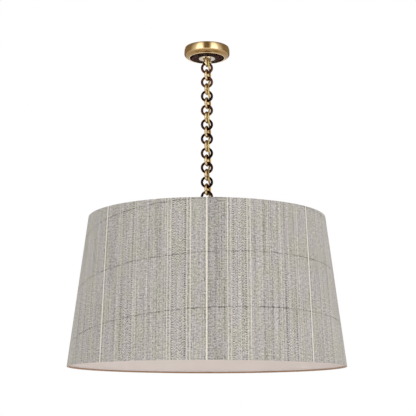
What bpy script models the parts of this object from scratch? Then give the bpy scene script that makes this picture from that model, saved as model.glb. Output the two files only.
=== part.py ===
"""Pendant light: a brass canopy, a chain of rings with a lamp cord woven through it, and a drum shade.

The frame is in metres with Z up. The origin is the middle of the ceiling plane, and the lamp hangs below it.
X runs to the right of someone who faces the lamp, and Y runs away from them.
"""

import math

import bmesh
import bpy
import numpy as np
from mathutils import Matrix, Vector

# Fit between neighbouring pieces, and how far a cutter runs past what it cuts
CLEARANCE = 0.0003
OVERRUN = 0.002

# Shade: a tapered drum of fabric on a stiff lining, held open by two wire rings
SHADE_BOTTOM_RADIUS = 0.381
SHADE_TOP_RADIUS = 0.330
SHADE_HEIGHT = 0.410
COVER_WALL = 0.0010
LINING_WALL = 0.0008
SHADE_WIRE_RADIUS = 0.0018
SHADE_SIDES = 60
WIRE_SIDES = 6

# Chain of equal round links, turned in plan from the front by LINK_TURN
LINK_OUTER_RADIUS = 0.0175
LINK_WIRE_RADIUS = 0.00345
LINK_TURN = math.radians(15.0)
DARK_LINKS = 10
BRASS_LINKS = 10
LINK_SIDES = 16
LINK_WIRE_SIDES = 8

# Lamp cord, woven past the links
CORD_RADIUS = 0.0025
CORD_WAVE_POINTS = 10
CORD_SEARCH_STEP = 0.0001
CORD_SEARCH_HEIGHTS = 160
CORD_SEARCH_ANGLES = 240
CORD_TAIL = 0.011

# Canopy: a spun cup with a flat underside, an inlaid disc and an escutcheon
CANOPY_RADIUS = 0.0650
CANOPY_HEIGHT = 0.0295
CANOPY_WALL = 0.0012
CANOPY_EDGE_DROP = 0.0110
CANOPY_EDGE_RUN = 0.0135
CANOPY_EDGE_STEPS = 5
CANOPY_SIDES = 36
DISC_RADIUS = 0.0490
DISC_THICKNESS = 0.0012
ESCUTCHEON_RADIUS = 0.0236
ESCUTCHEON_THICKNESS = 0.0020
ESCUTCHEON_BEVEL = 0.0012
BACKING_RADIUS = 0.0210
BACKING_THICKNESS = 0.0025

# Top loop: a U of link wire on two cross feet, each with a stud through the canopy
LOOP_LEG = 0.0054
LOOP_ARC_STEPS = 8
FOOT_LENGTH = 0.0200
FOOT_WIDTH = 0.0050
FOOT_THICKNESS = 0.0030
FOOT_ROUND_STEPS = 5
STUD_RADIUS = 0.0020
STUD_NUT_FLATS = 0.0070
STUD_NUT_HEIGHT = 0.0032
STUD_TIP = 0.0010

# Mounting strap under the ceiling, its screws, and the threaded nipple
STRAP_LENGTH = 0.1060
STRAP_WIDTH = 0.0180
STRAP_THICKNESS = 0.0025
STRAP_CORNER = 0.0040
STRAP_CORNER_STEPS = 3
STRAP_SLOT_END = 0.00855
STRAP_SLOT_LENGTH = 0.0120
STRAP_SLOT_WIDTH = 0.0050
STRAP_SLOT_STEPS = 6
BOX_SCREW_RADIUS = 0.0020
BOX_SCREW_HEAD_RADIUS = 0.0042
BOX_SCREW_HEAD_HEIGHT = 0.0030
NIPPLE_RADIUS = 0.0050
NIPPLE_BORE = 0.0036
NIPPLE_NUT_FLATS = 0.0130
NIPPLE_NUT_HEIGHT = 0.0040
BUSH_WALL = 0.0008
CONNECTOR_BASE_RADIUS = 0.0030
CONNECTOR_TIP_RADIUS = 0.0019
CONNECTOR_HEIGHT = 0.0085

# Lamp frame: bottom loop, stem, spider and nut. The loop's middle stands LOOP_ABOVE_SHADE over the shade
LOOP_ABOVE_SHADE = 0.0238
NECK_RADIUS = 0.0056
COLLAR_RADIUS = 0.0085
COLLAR_HEIGHT = 0.0110
COLLAR_FILLET = 0.0012
COLLAR_SOCKET_DEPTH = 0.0080
STEM_RADIUS = 0.0050
STEM_BORE = 0.0038
STEM_NUT_FLATS = 0.0140
STEM_NUT_HEIGHT = 0.0040
HUB_DROP = 0.0200
HUB_RADIUS = 0.0200
HUB_THICKNESS = 0.0050
ARM_COUNT = 3
SPIDER_ROD_RADIUS = 0.0021
SPIDER_STRAIGHT_SHARE = 0.82
SPIDER_CURVE_POINTS = 7
SPIDER_FIRST_ANGLE = math.radians(90.0)

# Lamp cluster under the spider, with its arms, sockets and bulbs
CLUSTER_DROP = 0.0900
CLUSTER_RADIUS = 0.0240
CLUSTER_HEIGHT = 0.0380
CLUSTER_EDGE = 0.0050
CLUSTER_EDGE_STEPS = 3
CLUSTER_SOCKET_DEPTH = 0.0120
CLUSTER_CAP_HEIGHT = 0.0080
CLUSTER_CAP_STEPS = 6
FINIAL_RADIUS = 0.0070
FINIAL_NECK_RADIUS = 0.0032
FINIAL_NECK_HEIGHT = 0.0040
FINIAL_STEPS = 8
SOCKET_FIRST_ANGLE = math.radians(30.0)
SOCKET_ARM_RADIUS = 0.0050
SOCKET_ARM_BEND = 0.0150
SOCKET_ARM_STEPS = 5
SOCKET_ARM_TAIL = 0.0040
SOCKET_REACH = 0.0750
SOCKET_RADIUS = 0.0185
SOCKET_CAP_RADIUS = 0.0080
SOCKET_CAP_HEIGHT = 0.0120
SOCKET_HEIGHT = 0.0560
BULB_BASE_RADIUS = 0.0130
BULB_BASE_LENGTH = 0.0240
BULB_NECK_RADIUS = 0.0140
BULB_RADIUS = 0.0300
BULB_LENGTH = 0.1080
BULB_STEPS = 5
ROUND_SIDES = 16
SMALL_SIDES = 12
HEX_SIDES = 6
ROD_STEPS = 2
SHARP_ANGLE = math.radians(35.0)

# Sizes that follow from the ones above
LINK_RADIUS = LINK_OUTER_RADIUS - LINK_WIRE_RADIUS
LINK_BORE = LINK_RADIUS - LINK_WIRE_RADIUS
LINK_PITCH = 2 * LINK_BORE - CLEARANCE
LINK_PIVOT = LINK_PITCH - LINK_RADIUS
CANOPY_BOTTOM = -CANOPY_HEIGHT
CANOPY_FLOOR = CANOPY_BOTTOM + CANOPY_WALL
DISC_TOP = CANOPY_BOTTOM - CLEARANCE
DISC_BOTTOM = DISC_TOP - DISC_THICKNESS
ESCUTCHEON_TOP = DISC_BOTTOM - CLEARANCE
ESCUTCHEON_BOTTOM = ESCUTCHEON_TOP - ESCUTCHEON_THICKNESS
FOOT_TOP = ESCUTCHEON_BOTTOM - CLEARANCE
BACKING_BOTTOM = CANOPY_FLOOR + CLEARANCE
BACKING_TOP = BACKING_BOTTOM + BACKING_THICKNESS
CHAIN_TOP = FOOT_TOP - LOOP_LEG
LINK_COUNT = DARK_LINKS + BRASS_LINKS
CHAIN_END = CHAIN_TOP - (LINK_COUNT + 1) * LINK_PITCH
CORD_OFFSET = LINK_WIRE_RADIUS + CLEARANCE + CORD_RADIUS
BUSH_RADIUS = CORD_RADIUS + CLEARANCE + BUSH_WALL
BUSH_HOLE = BUSH_RADIUS + CLEARANCE
STRAP_SLOT_SPACING = STRAP_LENGTH - 2 * STRAP_SLOT_END
SHADE_TOP = CHAIN_END - LOOP_ABOVE_SHADE
SHADE_BOTTOM = SHADE_TOP - SHADE_HEIGHT
NECK_TOP = CHAIN_END - LINK_RADIUS
HUB_TOP = SHADE_TOP - HUB_DROP
HUB_BOTTOM = HUB_TOP - HUB_THICKNESS
COLLAR_BOTTOM = HUB_TOP + CLEARANCE
COLLAR_TOP = COLLAR_BOTTOM + COLLAR_HEIGHT
STEM_TOP = COLLAR_BOTTOM + COLLAR_SOCKET_DEPTH - CLEARANCE
CLUSTER_TOP = HUB_BOTTOM - CLUSTER_DROP
CLUSTER_BOTTOM = CLUSTER_TOP - CLUSTER_HEIGHT
STEM_BOTTOM = CLUSTER_TOP - CLUSTER_SOCKET_DEPTH + CLEARANCE

FINISHES = {
    "aged_brass": ((0.520, 0.360, 0.140), 0.28, 1.0),
    "dark_bronze": ((0.030, 0.014, 0.012), 0.30, 0.8),
    "pale_brass": ((0.700, 0.600, 0.480), 0.25, 1.0),
    "zinc_steel": ((0.450, 0.450, 0.440), 0.40, 1.0),
    "bush_rubber": ((0.020, 0.020, 0.020), 0.70, 0.0),
    "cord_gold": ((0.700, 0.460, 0.110), 0.55, 0.0),
    "shade_fabric": ((0.440, 0.420, 0.385), 0.95, 0.0),
    "shade_lining": ((0.780, 0.740, 0.690), 0.80, 0.0),
    "hem_bronze": ((0.240, 0.150, 0.100), 0.45, 0.6),
    "socket_black": ((0.020, 0.020, 0.022), 0.45, 0.0),
    "bulb_glass": ((0.900, 0.890, 0.860), 0.20, 0.0),
}


def clear_scene():
    """Takes out every object that the file starts with."""
    for item in list(bpy.data.objects):
        bpy.data.objects.remove(item, do_unlink=True)


def make_material(name, finish):
    """One Principled material per piece, with the colour, roughness and metallic value of its finish."""
    colour, roughness, metallic = FINISHES[finish]
    material = bpy.data.materials.new(name)
    material.use_nodes = True
    shader = material.node_tree.nodes["Principled BSDF"]
    shader.inputs["Base Color"].default_value = (*colour, 1.0)
    shader.inputs["Roughness"].default_value = roughness
    shader.inputs["Metallic"].default_value = metallic
    material.diffuse_color = (*colour, 1.0)
    return material


def place(name, data, finish, spot=(0, 0, 0), turn=0.0):
    """Links a named object with its own material at a spot, turned about Z."""
    item = bpy.data.objects.new(name, data)
    bpy.context.scene.collection.objects.link(item)
    item.location = spot
    item.rotation_euler = (0, 0, turn)
    if finish:
        data.materials.append(make_material(name, finish))
    return item


def as_cutter(item):
    """Marks an object as a cutter or guide."""
    item.hide_render = True
    item.display_type = "WIRE"
    return item


def to_mesh(bm, name, smooth=True):
    """Closes up a bmesh, turns its faces out and hands back the mesh."""
    bmesh.ops.recalc_face_normals(bm, faces=bm.faces)
    mesh = bpy.data.meshes.new(name)
    bm.to_mesh(mesh)
    bm.free()
    if smooth:
        mesh.shade_smooth()
        mesh.set_sharp_from_angle(angle=SHARP_ANGLE)
    return mesh


def turned_mesh(name, outline, sides, axis="Z", depth=0.0):
    """Spins an outline of (radius, height) points about an axis.

    An outline that starts and ends on the axis makes a solid. Any other one is closed and makes a ring.
    About Z the height is z. About Y the ring stands upright, its middle at the given depth below the origin.
    """
    bm = bmesh.new()
    solid = outline[0][0] == 0 and outline[-1][0] == 0
    if axis == "Z":
        points = [bm.verts.new((r, 0, z)) for r, z in outline]
        line, middle = (0, 0, 1), (0, 0, 0)
    else:
        points = [bm.verts.new((r, y, -depth)) for r, y in outline]
        line, middle = (0, -1, 0), (0, 0, -depth)
    edges = [bm.edges.new(pair) for pair in zip(points, points[1:])]
    if not solid:
        edges.append(bm.edges.new((points[-1], points[0])))
    bmesh.ops.spin(
        bm, geom=points + edges, cent=middle, axis=line, angle=math.tau, steps=sides, use_duplicate=False
    )
    bmesh.ops.remove_doubles(bm, verts=bm.verts, dist=CLEARANCE / 10)
    return to_mesh(bm, name)


def turned(name, outline, sides, finish, spot=(0, 0, 0), turn=0.0):
    """A turned piece as an object."""
    return place(name, turned_mesh(name, outline, sides), finish, spot, turn)


def disc_outline(radius, low, high, edge=0.0):
    """A solid disc between two heights, with a bevelled lower edge."""
    points = [(0, low), (radius - edge, low)]
    if edge:
        points.append((radius, low + edge))
    else:
        points[-1] = (radius, low)
    return points + [(radius, high), (0, high)]


def sleeve_outline(inner, radius, low, high):
    """A plain tube between two heights."""
    return [(inner, low), (radius, low), (radius, high), (inner, high)]


def arc_points(middle_r, middle_z, radius_r, radius_z, start, end, steps):
    """Points on an elliptical arc, from one angle to another in degrees, both ends included."""
    angles = [math.radians(start + (end - start) * i / steps) for i in range(steps + 1)]
    return [(middle_r + radius_r * math.cos(a), middle_z + radius_z * math.sin(a)) for a in angles]


def cylinder_mesh(name, radius, low, high, sides, top_radius=None):
    """A capped cylinder, prism or cone between two heights."""
    bm = bmesh.new()
    bmesh.ops.create_cone(
        bm,
        cap_ends=True,
        segments=sides,
        radius1=radius,
        radius2=radius if top_radius is None else top_radius,
        depth=high - low,
        matrix=Matrix.Translation((0, 0, (low + high) / 2)),
    )
    return to_mesh(bm, name)


def combine(target, other, operation):
    """A Boolean between two objects, with the other one kept as a hidden guide."""
    as_cutter(other)
    step = target.modifiers.new(other.name, "BOOLEAN")
    step.operation = operation
    step.solver = "EXACT"
    step.object = other
    return target


def bore(target, radius, low, high, spot=(0, 0), sides=SMALL_SIDES):
    """Cuts a round hole from one height to another."""
    name = f"{target.name}_bore_{len(target.modifiers)}"
    cutter = place(name, cylinder_mesh(name, radius, low, high, sides), None, (*spot, 0))
    return combine(target, cutter, "DIFFERENCE")


def drill(target, radius, low, high, spot=(0, 0), sides=SMALL_SIDES):
    """Drills a round hole that runs past both heights."""
    return bore(target, radius, low - OVERRUN, high + OVERRUN, spot, sides)


def rod(name, points, radius, finish, turn=0.0):
    """A round rod or cord through points, with filled ends."""
    curve = bpy.data.curves.new(name, "CURVE")
    curve.dimensions = "3D"
    curve.bevel_depth = radius
    curve.bevel_resolution = ROD_STEPS
    curve.use_fill_caps = True
    spline = curve.splines.new("POLY")
    spline.points.add(len(points) - 1)
    for point, spot in zip(spline.points, points):
        point.co = (*spot, 1.0)
    return place(name, curve, finish, turn=turn)


def nut_mesh(name, flats, hole, low, height):
    """A hexagon nut with a round bore, standing on a height."""
    bm = bmesh.new()
    corner = flats / 2 / math.cos(math.pi / HEX_SIDES)
    count = 2 * HEX_SIDES
    rings = []
    for z in (low, low + height):
        for radius, sides in ((corner, HEX_SIDES), (hole, count)):
            angles = [math.tau * i / sides for i in range(sides)]
            rings.append([bm.verts.new((radius * math.cos(a), radius * math.sin(a), z)) for a in angles])
    low_hex, low_bore, high_hex, high_bore = rings
    for i in range(HEX_SIDES):
        j = (i + 1) % HEX_SIDES
        a, b, c = 2 * i, 2 * i + 1, (2 * i + 2) % count
        bm.faces.new((low_hex[i], low_hex[j], high_hex[j], high_hex[i]))
        for hexagon, bores in ((low_hex, low_bore), (high_hex, high_bore)):
            bm.faces.new((hexagon[i], bores[a], bores[b]))
            bm.faces.new((hexagon[i], bores[b], hexagon[j]))
            bm.faces.new((hexagon[j], bores[b], bores[c]))
    for a in range(count):
        c = (a + 1) % count
        bm.faces.new((low_bore[a], low_bore[c], high_bore[c], high_bore[a]))
    return to_mesh(bm, name, smooth=False)


# The woven cord


def link_height(number):
    """Height of a link's middle. Number 0 is the top loop, and the bottom loop comes after the last link."""
    return CHAIN_TOP - number * LINK_PITCH


def link_circles():
    """Points on the wire line of one dark link and of the brass links above and below it."""
    angles = np.linspace(0, math.tau, CORD_SEARCH_ANGLES, endpoint=False)
    across, up = LINK_RADIUS * np.cos(angles), LINK_RADIUS * np.sin(angles)
    dark = np.c_[across, np.zeros_like(across), up + link_height(1)]
    brass = [
        np.c_[across * math.sin(LINK_TURN), across * math.cos(LINK_TURN), up + link_height(n)] for n in (0, 2)
    ]
    return np.vstack([dark, *brass])


def cord_at(height, swing):
    """The cord's middle at a height: a wave beside the brass links that passes through each dark link.

    Along the brass links' plane the wave swings by the given amount, in front of one gap and behind the next.
    Across that plane the cord keeps a constant offset from it, so it clears every brass link.
    """
    phase = (np.asarray(height) - link_height(0)) / (2 * LINK_PITCH) * math.pi
    along = CORD_OFFSET * math.tan(LINK_TURN) - swing * np.cos(phase)
    x = along * math.sin(LINK_TURN) + CORD_OFFSET * math.cos(LINK_TURN)
    y = along * math.cos(LINK_TURN) - CORD_OFFSET * math.sin(LINK_TURN)
    return np.stack([x, y, np.asarray(height)], axis=-1)


def cord_swing():
    """The least swing at which the cord clears the dark links, found by small steps."""
    heights = np.linspace(link_height(0), link_height(2), CORD_SEARCH_HEIGHTS)
    circles = link_circles()
    swing = CORD_OFFSET
    reach = LINK_WIRE_RADIUS + CORD_RADIUS + CLEARANCE
    while swing < LINK_RADIUS + reach:
        path = cord_at(heights, swing)
        gap = np.linalg.norm(path[:, None] - circles[None], axis=2)
        if gap.min() >= reach - CORD_SEARCH_STEP:
            break
        swing += CORD_SEARCH_STEP
    return swing + CORD_SEARCH_STEP


SWING = cord_swing()
CORD_ENTRY = cord_at(link_height(0), SWING)
CORD_EXIT = cord_at(link_height(LINK_COUNT + 2), SWING)
FOOT_OFFSET = abs(float(CORD_ENTRY[1])) + CORD_RADIUS + CLEARANCE + FOOT_WIDTH / 2
CORD_TOP = BACKING_TOP + CORD_TAIL
GLAND_HEIGHT = 2 * BUSH_RADIUS


def build_cord():
    """The whole cord: down from the canopy, woven past every link, and straight down to the cluster."""
    steps = CORD_WAVE_POINTS * (LINK_COUNT + 2) // 4
    first, last = link_height(0), link_height(LINK_COUNT + 2)
    weave = cord_at(np.linspace(first, last, steps + 1), SWING)
    top = (*CORD_ENTRY[:2], CORD_TOP)
    end = (*CORD_EXIT[:2], CLUSTER_TOP + CLEARANCE)
    return rod("lamp_cord", [top, *weave.tolist(), end], CORD_RADIUS, "cord_gold")


# The canopy and what hangs it from the ceiling


def build_canopy():
    """The spun cup, the dark disc let into its underside and the pale escutcheon."""
    wall, run, drop = CANOPY_WALL, CANOPY_EDGE_RUN, CANOPY_EDGE_DROP
    shoulder = CANOPY_BOTTOM + drop
    flat = CANOPY_RADIUS - run
    outer = arc_points(flat, shoulder, run, drop, -90, 0, CANOPY_EDGE_STEPS)
    inner = arc_points(flat, shoulder, run - wall, drop - wall, 0, -90, CANOPY_EDGE_STEPS)
    rim = [(CANOPY_RADIUS, 0), (CANOPY_RADIUS - wall, 0)]
    outline = [(0, CANOPY_BOTTOM), *outer, *rim, *inner, (0, CANOPY_FLOOR)]
    shell = turned("canopy_shell", outline, CANOPY_SIDES, "aged_brass")
    plate = disc_outline(DISC_RADIUS, DISC_BOTTOM, DISC_TOP)
    disc = turned("canopy_disc", plate, CANOPY_SIDES, "dark_bronze")
    plate = disc_outline(ESCUTCHEON_RADIUS, ESCUTCHEON_BOTTOM, ESCUTCHEON_TOP, ESCUTCHEON_BEVEL)
    escutcheon = turned("escutcheon", plate, ROUND_SIDES, "pale_brass")
    backing = turned(
        "backing_plate", disc_outline(BACKING_RADIUS, BACKING_BOTTOM, BACKING_TOP), ROUND_SIDES, "zinc_steel"
    )
    for item in (shell, disc, escutcheon, backing):
        for side in (-1, 1):
            drill(item, STUD_RADIUS + CLEARANCE, ESCUTCHEON_BOTTOM, BACKING_TOP, (0, side * FOOT_OFFSET))
        drill(item, BUSH_HOLE, ESCUTCHEON_BOTTOM, BACKING_TOP, CORD_ENTRY[:2])
    drill(backing, NIPPLE_RADIUS + CLEARANCE, BACKING_BOTTOM, BACKING_TOP, sides=ROUND_SIDES)
    bush = sleeve_outline(CORD_RADIUS + CLEARANCE, BUSH_RADIUS, ESCUTCHEON_BOTTOM, BACKING_TOP)
    turned("cord_bush", bush, SMALL_SIDES, "bush_rubber", (*CORD_ENTRY[:2], 0))


def foot_mesh(name, side):
    """One cross foot of the top loop: a bar along X with round ends and a softened lower edge."""
    bm = bmesh.new()
    half, y, steps = FOOT_WIDTH / 2, side * FOOT_OFFSET, FOOT_ROUND_STEPS
    reach = FOOT_LENGTH / 2 - half
    points = arc_points(reach, y, half, half, -90, 90, steps)
    points += arc_points(-reach, y, half, half, 90, 270, steps)
    face = bm.faces.new([bm.verts.new((x, y, FOOT_TOP)) for x, y in points])
    made = bmesh.ops.extrude_face_region(bm, geom=[face])["geom"]
    lower = [v for v in made if isinstance(v, bmesh.types.BMVert)]
    bmesh.ops.translate(bm, verts=lower, vec=(0, 0, -FOOT_THICKNESS))
    rim = [e for e in bm.edges if all(v in lower for v in e.verts)]
    bmesh.ops.bevel(bm, geom=rim, offset=FOOT_THICKNESS / 2, segments=2, affect="EDGES", profile=0.5)
    return to_mesh(bm, name)


def build_top_loop():
    """The U that holds the first link, with its feet and the studs that go up through the canopy."""
    arc = arc_points(0, CHAIN_TOP, LINK_RADIUS, LINK_RADIUS, 180, 360, 2 * LOOP_ARC_STEPS)
    sunk = FOOT_TOP - FOOT_THICKNESS / 4
    path = [(-LINK_RADIUS, 0, sunk), *[(across, 0, up) for across, up in arc], (LINK_RADIUS, 0, sunk)]
    turn = math.pi / 2 - LINK_TURN
    bend = rod("top_loop_bend", path, LINK_WIRE_RADIUS, None, turn=turn)
    loop = place("top_loop", foot_mesh("near_foot", -1), "aged_brass")
    combine(loop, place("top_loop_far_foot", foot_mesh("far_foot", 1), None), "UNION")
    nut_low = BACKING_TOP + CLEARANCE
    tip = nut_low + STUD_NUT_HEIGHT + STUD_TIP
    for side, label in ((-1, "near"), (1, "far")):
        stud = cylinder_mesh("stud", STUD_RADIUS, FOOT_TOP - FOOT_THICKNESS / 2, tip, SMALL_SIDES)
        combine(loop, place(f"top_loop_{label}_stud", stud, None, (0, side * FOOT_OFFSET, 0)), "UNION")
        nut = nut_mesh("nut", STUD_NUT_FLATS, STUD_RADIUS + CLEARANCE, nut_low, STUD_NUT_HEIGHT)
        place(f"loop_nut_{label}", nut, "zinc_steel", (0, side * FOOT_OFFSET, 0))
    combine(loop, mesh_guide(bend), "UNION")


def mesh_guide(item):
    """A mesh copy of a rod, for Booleans, with the rod taken out."""
    bpy.context.view_layer.update()
    shape = item.evaluated_get(bpy.context.evaluated_depsgraph_get())
    mesh = bpy.data.meshes.new_from_object(shape)
    bm = bmesh.new()
    bm.from_mesh(mesh)
    bmesh.ops.remove_doubles(bm, verts=bm.verts, dist=CLEARANCE / 10)
    guide = place(f"{item.name}_solid", to_mesh(bm, item.name), None, item.location, item.rotation_euler.z)
    bpy.data.objects.remove(item, do_unlink=True)
    return guide


def build_strap():
    """The strap that is screwed under the ceiling box, its screws, and the nipple that is screwed into it."""
    bm = bmesh.new()
    radius, steps = STRAP_CORNER, STRAP_CORNER_STEPS
    half_x, half_y = STRAP_LENGTH / 2 - radius, STRAP_WIDTH / 2 - radius
    corners = [(half_x, -half_y, -90), (half_x, half_y, 0), (-half_x, half_y, 90), (-half_x, -half_y, 180)]
    points = [p for x, y, a in corners for p in arc_points(x, y, radius, radius, a, a + 90, steps)]
    face = bm.faces.new([bm.verts.new((x, y, 0)) for x, y in points])
    made = bmesh.ops.extrude_face_region(bm, geom=[face])["geom"]
    lower = [v for v in made if isinstance(v, bmesh.types.BMVert)]
    bmesh.ops.translate(bm, verts=lower, vec=(0, 0, -STRAP_THICKNESS))
    strap = place("mounting_strap", to_mesh(bm, "mounting_strap", smooth=False), "zinc_steel")
    drill(strap, NIPPLE_RADIUS + CLEARANCE, -STRAP_THICKNESS, 0, sides=ROUND_SIDES)
    for side, label in ((-1, "left"), (1, "right")):
        combine(strap, slot_cutter(side), "DIFFERENCE")
        build_box_screw(f"box_screw_{label}", side * STRAP_SLOT_SPACING / 2)
    nipple = sleeve_outline(NIPPLE_BORE, NIPPLE_RADIUS, CANOPY_FLOOR + CLEARANCE, 0)
    turned("threaded_nipple", nipple, ROUND_SIDES, "zinc_steel")
    nut = nut_mesh(
        "nipple_nut", NIPPLE_NUT_FLATS, NIPPLE_RADIUS + CLEARANCE, BACKING_TOP + CLEARANCE, NIPPLE_NUT_HEIGHT
    )
    place("nipple_nut", nut, "zinc_steel")


def slot_cutter(side):
    """The outline of one screw slot, long enough to cut through the strap."""
    bm = bmesh.new()
    half = STRAP_SLOT_WIDTH / 2
    run = STRAP_SLOT_LENGTH / 2 - half
    middle = side * STRAP_SLOT_SPACING / 2
    ends = [(middle + run, -90, 90), (middle - run, 90, 270)]
    points = [p for x, a, b in ends for p in arc_points(x, 0, half, half, a, b, STRAP_SLOT_STEPS)]
    face = bm.faces.new([bm.verts.new((x, y, OVERRUN)) for x, y in points])
    made = bmesh.ops.extrude_face_region(bm, geom=[face])["geom"]
    lower = [v for v in made if isinstance(v, bmesh.types.BMVert)]
    bmesh.ops.translate(bm, verts=lower, vec=(0, 0, -STRAP_THICKNESS - 2 * OVERRUN))
    return place(f"strap_slot_{side + 1}", to_mesh(bm, "slot"), None)


def build_box_screw(name, x):
    """A box screw: a pan head under the strap and a shank that stops at the ceiling."""
    top = -STRAP_THICKNESS - CLEARANCE
    low = top - BOX_SCREW_HEAD_HEIGHT
    soft = BOX_SCREW_HEAD_HEIGHT / 3
    outline = [
        (0, low),
        (BOX_SCREW_HEAD_RADIUS - soft, low),
        (BOX_SCREW_HEAD_RADIUS, low + soft),
        (BOX_SCREW_HEAD_RADIUS, top),
        (BOX_SCREW_RADIUS, top),
        (BOX_SCREW_RADIUS, 0),
        (0, 0),
    ]
    turned(name, outline, SMALL_SIDES, "zinc_steel", (x, 0, 0))


def build_connectors():
    """The two twist-on connectors that stand on the cord's end inside the canopy."""
    low = CORD_TOP + CLEARANCE
    for side, label in ((-1, "left"), (1, "right")):
        cone = cylinder_mesh(
            "cone", CONNECTOR_BASE_RADIUS, low, low + CONNECTOR_HEIGHT, SMALL_SIDES, CONNECTOR_TIP_RADIUS
        )
        spot = (CORD_ENTRY[0] + side * (CONNECTOR_BASE_RADIUS + CLEARANCE), CORD_ENTRY[1], 0)
        place(f"wire_connector_{label}", cone, "bush_rubber", spot)


# The chain


def build_chain():
    """Every link, dark ones facing the front and brass ones edge-on, each with its origin on its hinge."""
    wire = arc_points(LINK_RADIUS, 0, LINK_WIRE_RADIUS, LINK_WIRE_RADIUS, 0, 360, LINK_WIRE_SIDES)[:-1]
    for number in range(1, LINK_COUNT + 1):
        dark = number % 2 == 1
        kind, finish = ("dark", "dark_bronze") if dark else ("brass", "aged_brass")
        turn = 0.0 if dark else math.pi / 2 - LINK_TURN
        name = f"{kind}_link_{(number + 1) // 2:02d}"
        mesh = turned_mesh(name, wire, LINK_SIDES, "Y", LINK_PIVOT)
        place(name, mesh, finish, (0, 0, link_height(number) + LINK_PIVOT), turn)


# The lamp's frame


def build_bottom_loop():
    """The loop that the last link holds, with its neck and the collar that screws onto the stem."""
    wire = arc_points(LINK_RADIUS, 0, LINK_WIRE_RADIUS, LINK_WIRE_RADIUS, 0, 360, LINK_WIRE_SIDES)[:-1]
    ring = turned_mesh("bottom_loop", wire, LINK_SIDES, "Y", LINK_PIVOT)
    loop = place("bottom_loop", ring, "aged_brass", (0, 0, CHAIN_END + LINK_PIVOT))
    low, top, edge = COLLAR_BOTTOM, COLLAR_TOP, COLLAR_FILLET
    outline = [
        (0, low),
        (COLLAR_RADIUS - edge, low),
        (COLLAR_RADIUS, low + edge),
        (COLLAR_RADIUS, top - edge),
        (COLLAR_RADIUS - edge, top),
        (NECK_RADIUS, top),
        (NECK_RADIUS, NECK_TOP),
        (0, NECK_TOP),
    ]
    neck = turned("bottom_loop_neck", outline, ROUND_SIDES, None)
    combine(loop, neck, "UNION")
    bore(loop, STEM_RADIUS + CLEARANCE, low - OVERRUN, low + COLLAR_SOCKET_DEPTH, sides=ROUND_SIDES)


def build_stem():
    """The stem from the bottom loop to the cluster, and the nut that clamps the spider against the collar."""
    tube = sleeve_outline(STEM_BORE, STEM_RADIUS, STEM_BOTTOM, STEM_TOP)
    turned("stem_tube", tube, ROUND_SIDES, "aged_brass")
    low = HUB_BOTTOM - CLEARANCE - STEM_NUT_HEIGHT
    nut = nut_mesh("stem_nut", STEM_NUT_FLATS, STEM_RADIUS + CLEARANCE, low, STEM_NUT_HEIGHT)
    place("stem_nut", nut, "zinc_steel")


def build_spider():
    """The hub below the shade's top edge and the rods that climb from it to the top wire."""
    hub = turned("spider_hub", disc_outline(HUB_RADIUS, HUB_BOTTOM, HUB_TOP), ROUND_SIDES, "aged_brass")
    drill(hub, STEM_RADIUS + CLEARANCE, HUB_BOTTOM, HUB_TOP, sides=ROUND_SIDES)
    drill(hub, CORD_RADIUS + CLEARANCE, HUB_BOTTOM, HUB_TOP, CORD_EXIT[:2])
    low, high = (HUB_TOP + HUB_BOTTOM) / 2, top_wire_height()
    start = HUB_RADIUS + CLEARANCE
    end = wire_radius(high) - SHADE_WIRE_RADIUS - CLEARANCE
    bend = start + (end - start) * SPIDER_STRAIGHT_SHARE
    shares = [i / SPIDER_CURVE_POINTS for i in range(SPIDER_CURVE_POINTS + 1)]
    path = [(start, 0, low)]
    path += [(bend + (end - bend) * t, 0, low + (high - low) * t * t * (3 - 2 * t)) for t in shares]
    for number in range(ARM_COUNT):
        angle = SPIDER_FIRST_ANGLE + math.tau * number / ARM_COUNT
        rod(f"spider_rod_{number + 1}", path, SPIDER_ROD_RADIUS, "aged_brass", turn=angle)


# The shade


def shade_radius(height):
    """Outer radius of the cover at a height: a straight taper."""
    share = (SHADE_TOP - height) / SHADE_HEIGHT
    return SHADE_TOP_RADIUS + (SHADE_BOTTOM_RADIUS - SHADE_TOP_RADIUS) * share


def wire_radius(height):
    """Middle radius of a shade wire that lies inside the cover at a height."""
    return shade_radius(height) - COVER_WALL - CLEARANCE - SHADE_WIRE_RADIUS


def top_wire_height():
    """The top wire lies just inside the top edge."""
    return SHADE_TOP - SHADE_WIRE_RADIUS - CLEARANCE


def bottom_wire_height():
    """The bottom wire lies just inside the bottom edge."""
    return SHADE_BOTTOM + SHADE_WIRE_RADIUS + CLEARANCE


def tapered_wall(outset, wall, low, high):
    """A wall that follows the cover's taper, set in from its face by an offset."""
    return [
        (shade_radius(low) - outset - wall, low),
        (shade_radius(low) - outset, low),
        (shade_radius(high) - outset, high),
        (shade_radius(high) - outset - wall, high),
    ]


def build_shade():
    """The fabric cover, the stiff lining behind it and the two wires inside its edges."""
    turned("shade_cover", tapered_wall(0, COVER_WALL, SHADE_BOTTOM, SHADE_TOP), SHADE_SIDES, "shade_fabric")
    room = 2 * (SHADE_WIRE_RADIUS + CLEARANCE)
    lining = tapered_wall(COVER_WALL + CLEARANCE, LINING_WALL, SHADE_BOTTOM + room, SHADE_TOP - room)
    turned("shade_lining", lining, SHADE_SIDES, "shade_lining")
    for name, height in (("top_wire", top_wire_height()), ("bottom_wire", bottom_wire_height())):
        radius = SHADE_WIRE_RADIUS
        wire = arc_points(wire_radius(height), height, radius, radius, 0, 360, WIRE_SIDES)[:-1]
        turned(name, wire, SHADE_SIDES, "hem_bronze")


# The lamp cluster


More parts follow.
